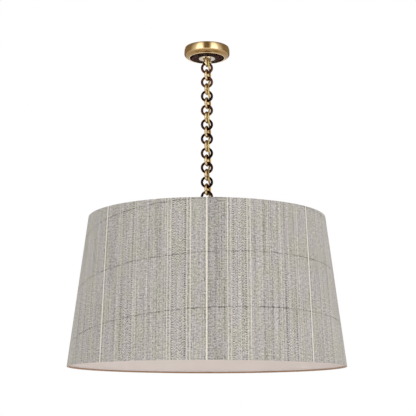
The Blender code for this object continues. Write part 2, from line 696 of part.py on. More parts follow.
def build_cluster():
    """The cluster body on the stem, its cap, its finial and the gland that the cord enters."""
    edge = CLUSTER_EDGE
    outline = [
        (0, CLUSTER_BOTTOM),
        (CLUSTER_RADIUS, CLUSTER_BOTTOM),
        *arc_points(CLUSTER_RADIUS - edge, CLUSTER_TOP - edge, edge, edge, 0, 90, CLUSTER_EDGE_STEPS),
        (0, CLUSTER_TOP),
    ]
    body = turned("cluster_body", outline, ROUND_SIDES, "aged_brass")
    low = CLUSTER_TOP - CLUSTER_SOCKET_DEPTH
    bore(body, STEM_RADIUS + CLEARANCE, low, CLUSTER_TOP + OVERRUN, sides=ROUND_SIDES)
    cap_top = CLUSTER_BOTTOM - CLEARANCE
    cap_low = cap_top - CLUSTER_CAP_HEIGHT
    dome = arc_points(0, cap_top, CLUSTER_RADIUS, CLUSTER_CAP_HEIGHT, -90, 0, CLUSTER_CAP_STEPS)
    turned("cluster_cap", [(0, cap_low), *dome[1:], (0, cap_top)], ROUND_SIDES, "aged_brass")
    neck_top = cap_low - CLEARANCE
    ball = neck_top - FINIAL_NECK_HEIGHT - FINIAL_RADIUS
    start = math.degrees(math.acos(FINIAL_NECK_RADIUS / FINIAL_RADIUS))
    knob = arc_points(0, ball, FINIAL_RADIUS, FINIAL_RADIUS, -90, start, FINIAL_STEPS)
    turned(
        "finial",
        [(0, ball - FINIAL_RADIUS), *knob[1:], (FINIAL_NECK_RADIUS, neck_top), (0, neck_top)],
        SMALL_SIDES,
        "aged_brass",
    )
    gland_low = CLUSTER_TOP + CLEARANCE
    gland = sleeve_outline(CORD_RADIUS + CLEARANCE, BUSH_RADIUS, gland_low, gland_low + GLAND_HEIGHT)
    turned("cord_gland", gland, SMALL_SIDES, "bush_rubber", (*CORD_EXIT[:2], 0))


def build_lights():
    """The arms round the cluster, each with a socket that faces down and its bulb."""
    height = (CLUSTER_TOP + CLUSTER_BOTTOM) / 2
    bend = SOCKET_ARM_BEND
    elbow = arc_points(SOCKET_REACH - bend, height - bend, bend, bend, 90, 0, SOCKET_ARM_STEPS)
    foot = height - bend - SOCKET_ARM_TAIL
    path = [(CLUSTER_RADIUS + CLEARANCE, 0, height), *[(r, 0, z) for r, z in elbow], (SOCKET_REACH, 0, foot)]
    top = foot - CLEARANCE
    mouth = top - SOCKET_HEIGHT
    throat = BULB_BASE_RADIUS + CLEARANCE
    bulb_top = mouth + BULB_BASE_LENGTH
    cup = [
        (0, top),
        (SOCKET_CAP_RADIUS, top),
        (SOCKET_RADIUS, top - SOCKET_CAP_HEIGHT),
        (SOCKET_RADIUS, mouth),
        (throat, mouth),
        (throat, bulb_top + CLEARANCE),
        (0, bulb_top + CLEARANCE),
    ]
    neck_z = mouth - CLEARANCE
    ball_z = bulb_top - BULB_LENGTH + BULB_RADIUS
    start = math.degrees(math.asin(BULB_NECK_RADIUS / BULB_RADIUS))
    globe = arc_points(0, ball_z, BULB_RADIUS, BULB_RADIUS, 90 - start, -90, BULB_STEPS)
    bulb = [
        (0, bulb_top),
        (BULB_BASE_RADIUS, bulb_top),
        (BULB_BASE_RADIUS, neck_z),
        (BULB_NECK_RADIUS, neck_z),
        *globe[:-1],
        (0, globe[-1][1]),
    ]
    for number in range(ARM_COUNT):
        angle = SOCKET_FIRST_ANGLE + math.tau * number / ARM_COUNT
        spot = (SOCKET_REACH * math.cos(angle), SOCKET_REACH * math.sin(angle), 0)
        rod(f"socket_arm_{number + 1}", path, SOCKET_ARM_RADIUS, "aged_brass", turn=angle)
        turned(f"socket_{number + 1}", cup, ROUND_SIDES, "socket_black", spot, angle)
        turned(f"bulb_{number + 1}", bulb, ROUND_SIDES, "bulb_glass", spot, angle)


def hang_lamp():
    """Parents everything below the chain to an empty on the last hinge line."""
    pivot = bpy.data.objects.new("lamp_pivot", None)
    bpy.context.scene.collection.objects.link(pivot)
    pivot.location = (0, 0, CHAIN_END + LINK_PIVOT)
    lamp = ("bottom_loop", "stem_", "spider_", "shade_", "top_wire", "bottom_wire")
    lamp += ("cluster_", "finial", "cord_gland", "socket_", "bulb_")
    for item in bpy.data.objects:
        if item.name.startswith(lamp):
            item.parent = pivot
            item.matrix_parent_inverse = Matrix.Translation(-Vector(pivot.location))


def main():
    clear_scene()
    build_strap()
    build_canopy()
    build_top_loop()
    build_connectors()
    build_chain()
    build_cord()
    build_bottom_loop()
    build_stem()
    build_spider()
    build_shade()
    build_cluster()
    build_lights()
    hang_lamp()


main()
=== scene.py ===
"""Looks of the pendant light: canopy, linked chain with its woven cord, drum shade, spider and lamp cluster.

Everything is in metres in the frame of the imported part: Z up, the ceiling at zero, X to the viewer's right and Y
away from the viewer. Surfaces are grids of points worked out with numpy, and materials are node graphs.
"""

import logging
import math
from dataclasses import dataclass, field, replace
from enum import Enum

import bmesh
import bpy
import numpy as np
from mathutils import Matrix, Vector


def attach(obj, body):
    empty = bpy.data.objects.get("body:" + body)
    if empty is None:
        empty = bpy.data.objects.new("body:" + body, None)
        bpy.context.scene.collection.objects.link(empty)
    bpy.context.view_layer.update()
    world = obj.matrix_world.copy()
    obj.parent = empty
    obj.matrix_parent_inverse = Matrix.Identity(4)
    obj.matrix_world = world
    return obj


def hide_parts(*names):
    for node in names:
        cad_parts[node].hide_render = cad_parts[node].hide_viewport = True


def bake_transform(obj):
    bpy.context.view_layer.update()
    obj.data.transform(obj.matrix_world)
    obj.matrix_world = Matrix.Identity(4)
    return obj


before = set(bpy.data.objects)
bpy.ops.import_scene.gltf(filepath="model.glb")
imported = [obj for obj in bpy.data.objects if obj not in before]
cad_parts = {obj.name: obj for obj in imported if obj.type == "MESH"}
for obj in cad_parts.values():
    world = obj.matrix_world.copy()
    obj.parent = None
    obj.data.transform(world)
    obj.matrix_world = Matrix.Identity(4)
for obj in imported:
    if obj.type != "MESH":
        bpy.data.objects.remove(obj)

log = logging.getLogger("pendant")

Plan = tuple[float, float]
Triple = tuple[float, float, float]
Colour = Triple
Outline = list[tuple[float, float]]
# what a node's input takes: another node's output, a number or a row of numbers
Value = bpy.types.NodeSocket | float | tuple[float, ...]

GAP = 0.0003  # clear distance between neighbouring pieces
MERGE = 2e-6  # points of a piece that are nearer than this become one
AXIS = (0.0, 0.0)  # where the chain hangs, in plan
UP = np.array((0.0, 0.0, 1.0))


class Slot(Enum):
    """The record's material slots."""

    BRASS = "aged_brass"
    DARK = "dark_bronze"
    PALE = "pale_brass"
    STEEL = "zinc_steel"
    RUBBER = "bush_rubber"
    CORD = "cord_gold"
    CLOTH = "shade_fabric"
    LINING = "shade_lining"
    HEM = "hem_bronze"
    SOCKET = "socket_black"
    BULB = "bulb_glass"


class LinkKind(Enum):
    """The two sorts of link: dark ones face the viewer, and brass ones stand edge-on."""

    DARK = "dark"
    BRASS = "brass"

    @classmethod
    def at(cls, number: int) -> "LinkKind":
        """Kind of the link at a place in the chain, from 1: the odd ones are dark."""
        return cls.DARK if number % 2 else cls.BRASS


def link_name(number: int, noun: str = "link") -> str:
    """Name of the link at a place in the chain, from 1: each kind counts its own."""
    return f"{LinkKind.at(number).value}_{noun}_{(number + 1) // 2:02d}"


# Shapes as grids of points


def bearings(count: int) -> np.ndarray:
    """Angles of a full turn in equal steps."""
    return np.linspace(0, math.tau, count, endpoint=False)


def curve(start: np.ndarray, knee: np.ndarray, end: np.ndarray, t: np.ndarray) -> np.ndarray:
    """The curve (1-t)^2 start + 2t(1-t) knee + t^2 end."""
    return (1 - t) ** 2 * start + 2 * t * (1 - t) * knee + t**2 * end


def upright(outline: np.ndarray, out: np.ndarray) -> np.ndarray:
    """Stands rows of (distance, height) up in the vertical plane that runs out in a given direction."""
    return outline[:, :1] * out + outline[:, 1:] * UP


def soften(outline: Outline, reach: float, steps: int = 4, closed: bool = False) -> np.ndarray:
    """Rounds the corners of an outline.

    Each corner becomes the knee of a curve whose ends lie on the two sides at the given reach from it, or at 0.45 of
    the side where that is shorter.

    Args:
        outline: Points in the plane, in order.
        reach: How far from a corner its curve starts.
        steps: Spans in each curve.
        closed: Whether the last point joins the first, so that every corner is rounded.

    Returns:
        The rounded outline as an array of points.
    """
    points = np.array(outline, float)
    before, after = np.roll(points, 1, 0) - points, np.roll(points, -1, 0) - points
    cut = [np.minimum(reach / np.maximum(np.linalg.norm(d, axis=1), 1e-9), 0.45)[:, None] for d in (before, after)]
    t = np.linspace(0, 1, steps + 1)[None, :, None]
    start, end = (points + before * cut[0])[:, None], (points + after * cut[1])[:, None]
    curves = curve(start, points[:, None], end, t)
    if closed:
        return curves.reshape(-1, 2)
    return np.vstack([points[:1], curves[1:-1].reshape(-1, 2), points[-1:]])


def slug(radius: float, low: float, high: float, reach: float) -> np.ndarray:
    """Outline of a solid cylinder between two heights, with its edges softened over the reach."""
    return soften([(0, low), (radius, low), (radius, high), (0, high)], reach)


def sleeve(hole: float, rim: float, low: float, high: float, reach: float) -> np.ndarray:
    """Closed outline of a tube between two heights, with its edges softened over the reach."""
    return soften([(hole, low), (rim, low), (rim, high), (hole, high)], reach, closed=True)


def turn(outline: np.ndarray, sides: int, middle: Plan = AXIS) -> np.ndarray:
    """Carries an outline round a vertical line.

    The point (r, z) of the outline at angle a lies at (mx + r cos a, my + r sin a, z).

    Args:
        outline: Rows of (radius, height).
        sides: Steps in the full turn.
        middle: Where the vertical line stands, in plan.

    Returns:
        A grid of points, one row to each point of the outline.
    """
    angle = bearings(sides)
    radius, height = outline[:, :1], np.repeat(outline[:, 1:2], sides, axis=1)
    return np.stack([middle[0] + radius * np.cos(angle), middle[1] + radius * np.sin(angle), height], -1)


def ring(
    middle: Vector, radius: float, wire: float, across: Vector, up: Vector, sides: int, facets: int
) -> np.ndarray:
    """A round ring of wire.

    With n = across x up, the point at angles a and b is
    middle + (radius + wire cos b)(across cos a + up sin a) + n wire sin b.

    Args:
        middle: Centre of the ring.
        radius: Radius of the wire's own middle line.
        wire: Radius of the wire.
        across: Unit direction in the ring's plane.
        up: Unit direction in the ring's plane, square to the first.
        sides: Steps round the ring.
        facets: Steps round the wire.

    Returns:
        A grid of points that wraps both ways.
    """
    a, b = bearings(sides)[:, None, None], bearings(facets)[None, :, None]
    along = np.array(across) * np.cos(a) + np.array(up) * np.sin(a)
    return np.array(middle) + along * (radius + wire * np.cos(b)) + np.array(across.cross(up)) * wire * np.sin(b)


def sweep(path: np.ndarray, radius: np.ndarray | float, facets: int, guide: Triple) -> np.ndarray:
    """Carries a circle along a path.

    At each point the circle is spanned by s, the guide direction less its part along the tangent t, made unit, and
    t x s. The point at angle b is p + radius (s cos b + (t x s) sin b).

    Args:
        path: Points of the middle line.
        radius: One radius, or one for each point.
        facets: Steps round the circle.
        guide: A direction that the path never runs along.

    Returns:
        A grid of points, one row to each point of the path.
    """
    tangent = np.gradient(path, axis=0)
    tangent /= np.linalg.norm(tangent, axis=1, keepdims=True)
    side = np.array(guide) - tangent * (tangent @ np.array(guide))[:, None]
    side /= np.linalg.norm(side, axis=1, keepdims=True)
    other = np.cross(tangent, side)
    angle = bearings(facets)[None, :, None]
    size = np.broadcast_to(np.asarray(radius, float), len(path))[:, None, None]
    return path[:, None] + size * (side[:, None] * np.cos(angle) + other[:, None] * np.sin(angle))


def capped(path: np.ndarray, radius: float, steps: int = 4) -> tuple[np.ndarray, np.ndarray]:
    """Closes a rod's ends with shallow cones, whose depth is a third of the radius.

    Args:
        path: Points of the middle line.
        radius: The rod's radius.
        steps: Spans in each end, which get closer towards the full radius.

    Returns:
        The path with more points at both ends, and the radius at each point.
    """
    share = np.sin(np.linspace(0, math.pi / 2, steps + 1))
    first, last = path[1] - path[0], path[-2] - path[-1]
    depth = radius / 3 * share[:, None]
    head = path[0] + first / np.linalg.norm(first) * depth
    tail = path[-1] + last / np.linalg.norm(last) * depth[::-1]
    inner = path[1:-1]
    sizes = radius * np.concatenate([share, np.ones(len(inner)), share[::-1]])
    return np.vstack([head, inner, tail]), sizes


def rounded(path: np.ndarray, radius: np.ndarray, facets: int = 20) -> np.ndarray:
    """A tube of varying radius with half-round ends.

    Past each end of the path the middle line goes on by r sin(a) and the radius falls as r cos(a), for a from 0 to
    a quarter turn.

    Args:
        path: Points of the middle line.
        radius: Radius at each point.
        facets: Steps round the tube.

    Returns:
        A grid of points, one row to each point, with a pole at both ends.
    """
    a = np.linspace(math.pi / 2, 0, 6)[:-1, None]
    first, last = path[0] - path[1], path[-1] - path[-2]
    head = path[0] + first / np.linalg.norm(first) * radius[0] * np.sin(a)
    tail = path[-1] + last / np.linalg.norm(last) * radius[-1] * np.sin(a[::-1])
    sizes = np.concatenate([radius[0] * np.cos(a[:, 0]), radius, radius[-1] * np.cos(a[::-1, 0])])
    run = path[-1] - path[0]
    guide = np.cross(run, (0.3, 0.2, 1.0))
    return sweep(np.vstack([head, path, tail]), sizes, facets, tuple(guide / np.linalg.norm(guide)))


def hexagon(angle: np.ndarray, flats: float) -> np.ndarray:
    """Distance from the middle of a hexagon to its side: half the flats over the cosine of the angle off a flat."""
    return flats / 2 / np.cos(np.mod(angle, math.tau / 6) - math.tau / 12)


class Skin:
    """Gathers grids of points into the mesh of one piece."""

    def __init__(self, name: str) -> None:
        """Starts an empty piece.

        Args:
            name: The piece's name.
        """
        self.name = name
        self.points: list[np.ndarray] = []
        self.faces: list[np.ndarray] = []
        self.uvs: list[np.ndarray] = []
        self.count = 0

    def grid(self, points: np.ndarray, wrap_rows: bool = False, uv: np.ndarray | None = None) -> "Skin":
        """Adds a grid of points, joined by four-sided faces. The last column joins the first.

        Args:
            points: Array of rows x columns x 3.
            wrap_rows: Whether the last row joins the first too.
            uv: Flat coordinates with one more row or column where the grid wraps, or None.

        Returns:
            The piece itself.
        """
        rows, cols = points.shape[:2]
        i, j = np.meshgrid(np.arange(rows - (not wrap_rows)), np.arange(cols), indexing="ij")
        down, right = (i + 1) % rows, (j + 1) % cols
        corners = np.stack([i * cols + j, down * cols + j, down * cols + right, i * cols + right], -1)
        self.faces.append(corners.reshape(-1, 4) + self.count)
        self.points.append(points.reshape(-1, 3))
        if uv is None:
            flat = np.zeros((corners.shape[0] * corners.shape[1], 4, 2))
        else:
            flat = np.stack([uv[i, j], uv[i + 1, j], uv[i + 1, j + 1], uv[i, j + 1]], -2).reshape(-1, 4, 2)
        self.uvs.append(flat)
        self.count += rows * cols
        return self

    def build(self, sharp: float = 38.0) -> bpy.types.Object:
        """Makes the mesh: merges poles, turns faces out and smooths all but sharp edges.

        Args:
            sharp: Edges that turn by more than this many degrees stay sharp.

        Returns:
            The new object, which sits at the origin.
        """
        points, faces, uvs = np.vstack(self.points), np.vstack(self.faces), np.vstack(self.uvs)
        mesh = bpy.data.meshes.new(self.name)
        mesh.vertices.add(len(points))
        mesh.vertices.foreach_set("co", points.astype(np.float32).ravel())
        mesh.loops.add(faces.size)
        mesh.loops.foreach_set("vertex_index", faces.astype(np.int32).ravel())
        mesh.polygons.add(len(faces))
        mesh.polygons.foreach_set("loop_start", np.arange(0, faces.size, 4, dtype=np.int32))
        mesh.update(calc_edges=True)
        if np.any(uvs):
            layer = mesh.uv_layers.new(name="flat")
            layer.uv.foreach_set("vector", uvs.astype(np.float32).ravel())
        bm = bmesh.new()
        bm.from_mesh(mesh)
        bmesh.ops.remove_doubles(bm, verts=bm.verts, dist=MERGE)
        bmesh.ops.recalc_face_normals(bm, faces=bm.faces)
        bm.to_mesh(mesh)
        bm.free()
        mesh.shade_smooth()
        mesh.set_sharp_from_angle(angle=math.radians(sharp))
        item = bpy.data.objects.new(self.name, mesh)
        bpy.context.scene.collection.objects.link(item)
        return item


# Node graphs


class Graph:
    """A thin helper round a node tree."""

    def __init__(self, tree: bpy.types.NodeTree) -> None:
        """Wraps a tree."""
        self.tree = tree

    def add(self, kind: str, **settings: object) -> bpy.types.Node:
        """Adds a node and sets its properties.

        Args:
            kind: The node's type name without its ShaderNode start, or its full name.
            settings: Properties by name.

        Returns:
            The new node.
        """
        node = self.tree.nodes.new(kind if kind.startswith("Node") else f"ShaderNode{kind}")
        for key, value in settings.items():
            setattr(node, key, value)
        return node

    def feed(self, socket: bpy.types.NodeSocket, value: Value) -> None:
        """Links an output to an input socket, or writes a plain value on it.

        Args:
            socket: The input socket.
            value: An output socket, a number or a row of numbers.
        """
        if isinstance(value, bpy.types.NodeSocket):
            self.tree.links.new(value, socket)
        else:
            socket.default_value = value

    def fill(self, node: bpy.types.Node, values: dict[str, Value]) -> None:
        """Feeds a node's inputs by name."""
        for name, value in values.items():
            self.feed(node.inputs[name], value)

    def math(self, operation: str, *values: Value, clamp: bool = False) -> bpy.types.NodeSocket:
        """One step of arithmetic on sockets or numbers.

        Args:
            operation: Name of the Math node's operation.
            values: Its inputs in order.
            clamp: Whether the result is held between 0 and 1.

        Returns:
            The result's socket.
        """
        node = self.add("Math", operation=operation, use_clamp=clamp)
        for socket, value in zip(node.inputs, values):
            self.feed(socket, value)
        return node.outputs[0]

    def mix(self, amount: Value, first: Value, second: Value, blend: str = "MIX") -> bpy.types.NodeSocket:
        """Mixes two colours.

        Args:
            amount: Share of the second.
            first: First colour, a socket or four numbers.
            second: Second colour, a socket or four numbers.
            blend: The blend mode.

        Returns:
            The mixed colour's socket.
        """
        node = self.add("Mix", data_type="RGBA", blend_type=blend)
        for name, value in (("Factor_Float", amount), ("A_Color", first), ("B_Color", second)):
            socket = next(s for s in node.inputs if s.identifier == name)
            self.feed(socket, value)
        return next(s for s in node.outputs if s.identifier == "Result_Color")

    def ramp(self, value: Value, low: Value, high: Value, start: float, end: float) -> bpy.types.NodeSocket:
        """Maps a value smoothly from one range to another.

        Args:
            value: The value.
            low: Lower end of its range.
            high: Upper end of its range.
            start: The result at the lower end and below it.
            end: The result at the upper end and above it.

        Returns:
            The result's socket.
        """
        node = self.add("MapRange", interpolation_type="SMOOTHSTEP")
        for socket, number in zip(node.inputs, (value, low, high, start, end)):
            self.feed(socket, number)
        return node.outputs[0]

    def split(self, vector: Value) -> bpy.types.NodeOutputs:
        """The three parts of a vector."""
        node = self.add("SeparateXYZ")
        self.feed(node.inputs[0], vector)
        return node.outputs

    def join(self, first: Value, second: Value) -> bpy.types.NodeSocket:
        """The vector of two values and 0."""
        node = self.add("CombineXYZ")
        self.feed(node.inputs[0], first)
        self.feed(node.inputs[1], second)
        return node.outputs[0]

    def off_axis(self, parts: bpy.types.NodeOutputs) -> bpy.types.NodeSocket:
        """Distance of a place from the vertical axis: the root of x squared plus y squared."""
        squares = [self.math("MULTIPLY", parts[k], parts[k]) for k in (0, 1)]
        return self.math("SQRT", self.math("ADD", *squares))

    def noise(self, vector: Value, scale: Value, detail: float = 2.0, rough: float = 0.5) -> bpy.types.NodeSocket:
        """Noise between about 0.2 and 0.8.

        Args:
            vector: Where it is read.
            scale: Cells to the metre.
            detail: Octaves above the first.
            rough: Strength of each octave against the one below it.

        Returns:
            The noise's socket.
        """
        node = self.add("TexNoise", noise_dimensions="3D")
        self.fill(node, {"Vector": vector, "Scale": scale, "Detail": detail, "Roughness": rough})
        return node.outputs["Fac"]

    def grain(self, flat: Value, across: float, along: float, detail: float = 2.0) -> bpy.types.NodeSocket:
        """Noise on flat coordinates, drawn out along one of them.

        Args:
            flat: The flat coordinates, in metres.
            across: Cells to the metre along the first.
            along: Cells to the metre along the second.
            detail: Octaves above the first.

        Returns:
            The noise's socket.
        """
        node = self.add("VectorMath", operation="MULTIPLY")
        self.feed(node.inputs[0], flat)
        self.feed(node.inputs[1], (across, along, 1.0))
        return self.noise(node.outputs[0], 1.0, detail)


class Effect:
    """A shader node group that several materials share."""

    def __init__(self, name: str, inputs: dict[str, float | None], outputs: tuple[str, ...]) -> None:
        """Makes the group's sockets.

        Args:
            name: The group's name.
            inputs: Names with their default number, or None for a vector.
            outputs: Names of the number outputs.
        """
        self.tree = bpy.data.node_groups.new(name, "ShaderNodeTree")
        for key, value in inputs.items():
            kind = "NodeSocketVector" if value is None else "NodeSocketFloat"
            socket = self.tree.interface.new_socket(key, in_out="INPUT", socket_type=kind)
            if value is not None:
                socket.default_value = value
        for key in outputs:
            self.tree.interface.new_socket(key, in_out="OUTPUT", socket_type="NodeSocketFloat")
        self.graph = Graph(self.tree)
        self.source = self.graph.add("NodeGroupInput").outputs
        self.sink = self.graph.add("NodeGroupOutput").inputs

    def give(self, name: str, value: Value) -> None:
        """Connects a result to the group's output of that name."""
        self.graph.feed(self.sink[name], value)

    def use(self, graph: Graph, **values: Value) -> bpy.types.NodeOutputs:
        """Places the group in a material.

        Args:
            graph: The material's graph.
            values: Inputs by name.

        Returns:
            The placed node's outputs.
        """
        node = graph.add("Group", node_tree=self.tree)
        graph.fill(node, values)
        return node.outputs


def patina_effect() -> Effect:
    """Cloudy tone of aged metal: two noises, broad and fine, whose weighted sum is spread to 0 to 1."""
    effect = Effect("patina", {"Vector": None, "Broad": 30.0, "Fine": 400.0}, ("Mask", "Grain"))
    g, source = effect.graph, effect.source
    broad = g.noise(source["Vector"], source["Broad"], 3.0)
    fine = g.noise(source["Vector"], source["Fine"], 4.0, 0.6)
    total = g.math("MULTIPLY_ADD", broad, 0.7, g.math("MULTIPLY", fine, 0.3))
    effect.give("Mask", g.ramp(total, 0.35, 0.65, 0.0, 1.0))
    effect.give("Grain", fine)
    return effect


def spun_effect() -> Effect:
    """Lathe marks: noise that depends only on the distance from the vertical axis and on the height."""
    effect = Effect("spun_marks", {"Vector": None, "Rings": 2500.0}, ("Height", "Band"))
    g, source = effect.graph, effect.source
    parts = g.split(source["Vector"])
    spot = g.join(g.off_axis(parts), parts[2])
    effect.give("Height", g.noise(spot, source["Rings"], 3.0, 0.6))
    effect.give("Band", g.noise(spot, g.math("MULTIPLY", source["Rings"], 0.12), 2.0))
    return effect


def line_effect() -> Effect:
    """One woven line that repeats: it fades from 1 to 0 between 0.35 and 0.65 of its width from its place."""
    effect = Effect("woven_line", {"Across": 0.0, "Place": 0.0, "Width": 0.001, "Repeat": 0.3}, ("Mask",))
    g, source = effect.graph, effect.source
    half = g.math("MULTIPLY", source["Repeat"], 0.5)
    moved = g.math("ADD", g.math("SUBTRACT", source["Across"], source["Place"]), half)
    away = g.math("ABSOLUTE", g.math("SUBTRACT", g.math("FLOORED_MODULO", moved, source["Repeat"]), half))
    inner, outer = (g.math("MULTIPLY", source["Width"], share) for share in (0.35, 0.65))
    effect.give("Mask", g.ramp(away, inner, outer, 1.0, 0.0))
    return effect


def thread_effect() -> Effect:
    """Rows of threads: the height is a half sine across each thread, and the tone a number drawn for each thread."""
    effect = Effect("threads", {"Across": 0.0, "Pitch": 0.0008, "Seed": 0.0}, ("Height", "Tone"))
    g, source = effect.graph, effect.source
    place = g.math("DIVIDE", source["Across"], source["Pitch"])
    effect.give("Height", g.math("SINE", g.math("MULTIPLY", g.math("FRACT", place), math.pi)))
    noise = g.add("TexWhiteNoise", noise_dimensions="2D")
    g.feed(noise.inputs["Vector"], g.join(g.math("FLOOR", place), source["Seed"]))
    effect.give("Tone", noise.outputs["Value"])
    return effect


def braid_effect() -> Effect:
    """Crossing strands on a cord: the larger of two sine ridges that wind opposite ways round it."""
    effect = Effect("braid", {"Along": 0.0, "Around": 0.0, "Pitch": 0.006, "Strands": 4.0}, ("Height", "Left"))
    g, source = effect.graph, effect.source
    run = g.math("DIVIDE", source["Along"], source["Pitch"])
    wind = g.math("MULTIPLY", source["Around"], source["Strands"])
    ridges = []
    for operation in ("ADD", "SUBTRACT"):
        phase = g.math("MULTIPLY", g.math(operation, run, wind), math.pi)
        ridges.append(g.math("ABSOLUTE", g.math("SINE", phase)))
    effect.give("Height", g.math("MAXIMUM", *ridges))
    effect.give("Left", g.math("GREATER_THAN", ridges[0], ridges[1]))
    return effect


@dataclass(frozen=True)
class Effects:
    """Every shared node group, made once."""

    patina: Effect
    spun: Effect
    line: Effect
    thread: Effect
    braid: Effect

    @classmethod
    def make(cls) -> "Effects":
        """Makes the groups."""
        return cls(patina_effect(), spun_effect(), line_effect(), thread_effect(), braid_effect())


# Finishes


def rgba(colour: Colour) -> tuple[float, float, float, float]:
    """A colour with full alpha."""
    return (*colour, 1.0)


def new_material(name: str) -> tuple[bpy.types.Material, Graph, bpy.types.Node]:
    """Makes a material with its Principled shader.

    Args:
        name: The material's name.

    Returns:
        The material, its graph and the shader node.
    """
    material = bpy.data.materials.new(name)
    material.use_nodes = True
    return material, Graph(material.node_tree), material.node_tree.nodes["Principled BSDF"]


def set_bump(graph: Graph, shader: bpy.types.Node, height: Value, strength: float, depth: float) -> None:
    """Feeds a height into the shader's normal.

    Args:
        graph: The material's graph.
        shader: Its Principled node.
        height: The height's socket, from 0 to about 1.
        strength: Share of the bump that shows.
        depth: Metres that a height of 1 stands for.
    """
    bump = graph.add("Bump")
    graph.fill(bump, {"Strength": strength, "Distance": depth, "Height": height})
    graph.feed(shader.inputs["Normal"], bump.outputs[0])


@dataclass(frozen=True)
class MetalFinish:
    """A metal with cloudy patina, lathe marks where it is spun, and, where given, painted shade that darkens it
    towards the bottom.
    """

    name: str
    colour: Colour
    patina: Colour
    roughness: float = 0.25
    spread: float = 0.12
    spun: bool = False
    metallic: float = 1.0
    broad: float = 45.0
    fine: float = 900.0
    rings: float = 2600.0
    relief: float = 0.03
    depth: float = 0.0002
    cover: float = 0.45
    streak: float = 0.0
    edge: float = 1.0
    painted_shade: Colour | None = None
    shade_from: float = 0.0
    shade_to: float = 0.0
    shade_stops_within: float = 0.0
    shade_stop_blur: float = 0.0002

    def build(self, effects: Effects) -> bpy.types.Material:
        """Makes the material.

        Args:
            effects: The shared node groups.

        Returns:
            The finished material.
        """
        material, g, shader = new_material(self.name)
        place = g.add("TexCoord").outputs["Object"]
        cloud = effects.patina.use(g, Vector=place, Broad=self.broad, Fine=self.fine)
        colour = g.mix(g.math("MULTIPLY", cloud["Mask"], self.cover), rgba(self.colour), rgba(self.patina))
        rough = g.math("MULTIPLY_ADD", cloud["Mask"], self.spread, self.roughness - self.spread / 2)
        height = cloud["Grain"]
        if self.spun:
            marks = effects.spun.use(g, Vector=place, Rings=self.rings)
            height = g.math("MULTIPLY_ADD", height, 0.3, marks["Height"])
            rough = g.math("MULTIPLY_ADD", marks["Band"], 0.08, rough)
        # painted shade: the colour turns darker towards the bottom of the piece
        if self.painted_shade:
            colour = g.mix(self.painted_shade_mask(g, place), colour, rgba(self.painted_shade))
        values = {
            "Base Color": colour,
            "Roughness": rough,
            "Metallic": self.metallic,
            "Specular Tint": rgba((self.edge,) * 3),
            "Anisotropic": self.streak,
            "Anisotropic Rotation": 0.25 if self.streak else 0.0,
        }
        g.fill(shader, values)
        set_bump(g, shader, height, self.relief, self.depth)
        return material

    def painted_shade_mask(self, g: Graph, place: Value) -> bpy.types.NodeSocket:
        """Where the shade is painted: it comes on between two heights, darker towards the bottom, and stops at a rim
        nearer the axis.

        Args:
            g: The material's graph.
            place: Object coordinates.

        Returns:
            A mask that is 1 where the shade is painted.
        """
        parts = g.split(place)
        rim, blur = self.shade_stops_within, self.shade_stop_blur
        outside = g.ramp(g.off_axis(parts), rim - blur, rim + blur, 0.0, 1.0)
        return g.math("MULTIPLY", g.ramp(parts[2], self.shade_to, self.shade_from, 1.0, 0.0), outside)


@dataclass(frozen=True)
class PlainFinish:
    """A moulded or sprayed surface: a colour that drifts a little, with a fine grain."""

    name: str
    colour: Colour
    drift: Colour
    roughness: float
    grain: float = 700.0
    depth: float = 0.0002
    strength: float = 0.2
    coat: float = 0.0
    broad: float = 12.0
    spread: float = 0.12

    def build(self, effects: Effects) -> bpy.types.Material:
        """Makes the material.

        Args:
            effects: The shared node groups.

        Returns:
            The finished material.
        """
        material, g, shader = new_material(self.name)
        place = g.add("TexCoord").outputs["Object"]
        cloud = effects.patina.use(g, Vector=place, Broad=self.broad, Fine=self.grain)
        colour = g.mix(cloud["Mask"], rgba(self.colour), rgba(self.drift))
        rough = g.math("MULTIPLY_ADD", cloud["Grain"], self.spread, self.roughness - self.spread / 2)
        g.fill(shader, {"Base Color": colour, "Roughness": rough, "Coat Weight": self.coat})
        set_bump(g, shader, cloud["Grain"], self.strength, self.depth)
        return material


@dataclass(frozen=True)
class DiscFinish:
    """Dark mottled bronze, with painted shade beyond a given radius: a near-black, polished ring that stands for the
    shadow round the disc's edge.
    """

    name: str = "mottled_disc"
    deep: Colour = (0.050, 0.027, 0.024)
    cloud: Colour = (0.215, 0.152, 0.138)
    rim_shade: Colour = (0.014, 0.006, 0.006)
    rim_shade_radius: float = 0.0452
    rim_shade_blur: float = 0.0006
    roughness: float = 0.34
    spread: float = 0.20
    polish: float = 0.20
    edge: float = 0.10

    def build(self, effects: Effects) -> bpy.types.Material:
        """Makes the material.

        Args:
            effects: The shared node groups.

        Returns:
            The finished material.
        """
        material, g, shader = new_material(self.name)
        place = g.add("TexCoord").outputs["Object"]
        rim, blur = self.rim_shade_radius, self.rim_shade_blur
        rim_shade = g.ramp(g.off_axis(g.split(place)), rim - blur, rim + blur, 0.0, 1.0)
        mottle = effects.patina.use(g, Vector=place, Broad=170.0, Fine=900.0)
        colour = g.mix(mottle["Mask"], rgba(self.deep), rgba(self.cloud))
        rough = g.math("MULTIPLY_ADD", mottle["Grain"], self.spread, self.roughness)
        values = {
            # painted shade: near black beyond the radius, for the shadow at the disc's edge
            "Base Color": g.mix(rim_shade, colour, rgba(self.rim_shade)),
            "Roughness": g.math("MULTIPLY_ADD", rim_shade, -self.polish, rough),
            "Metallic": 1.0,
            "Specular Tint": rgba((self.edge,) * 3),
        }
        g.fill(shader, values)
        set_bump(g, shader, mottle["Grain"], 0.15, 0.0003)
        return material


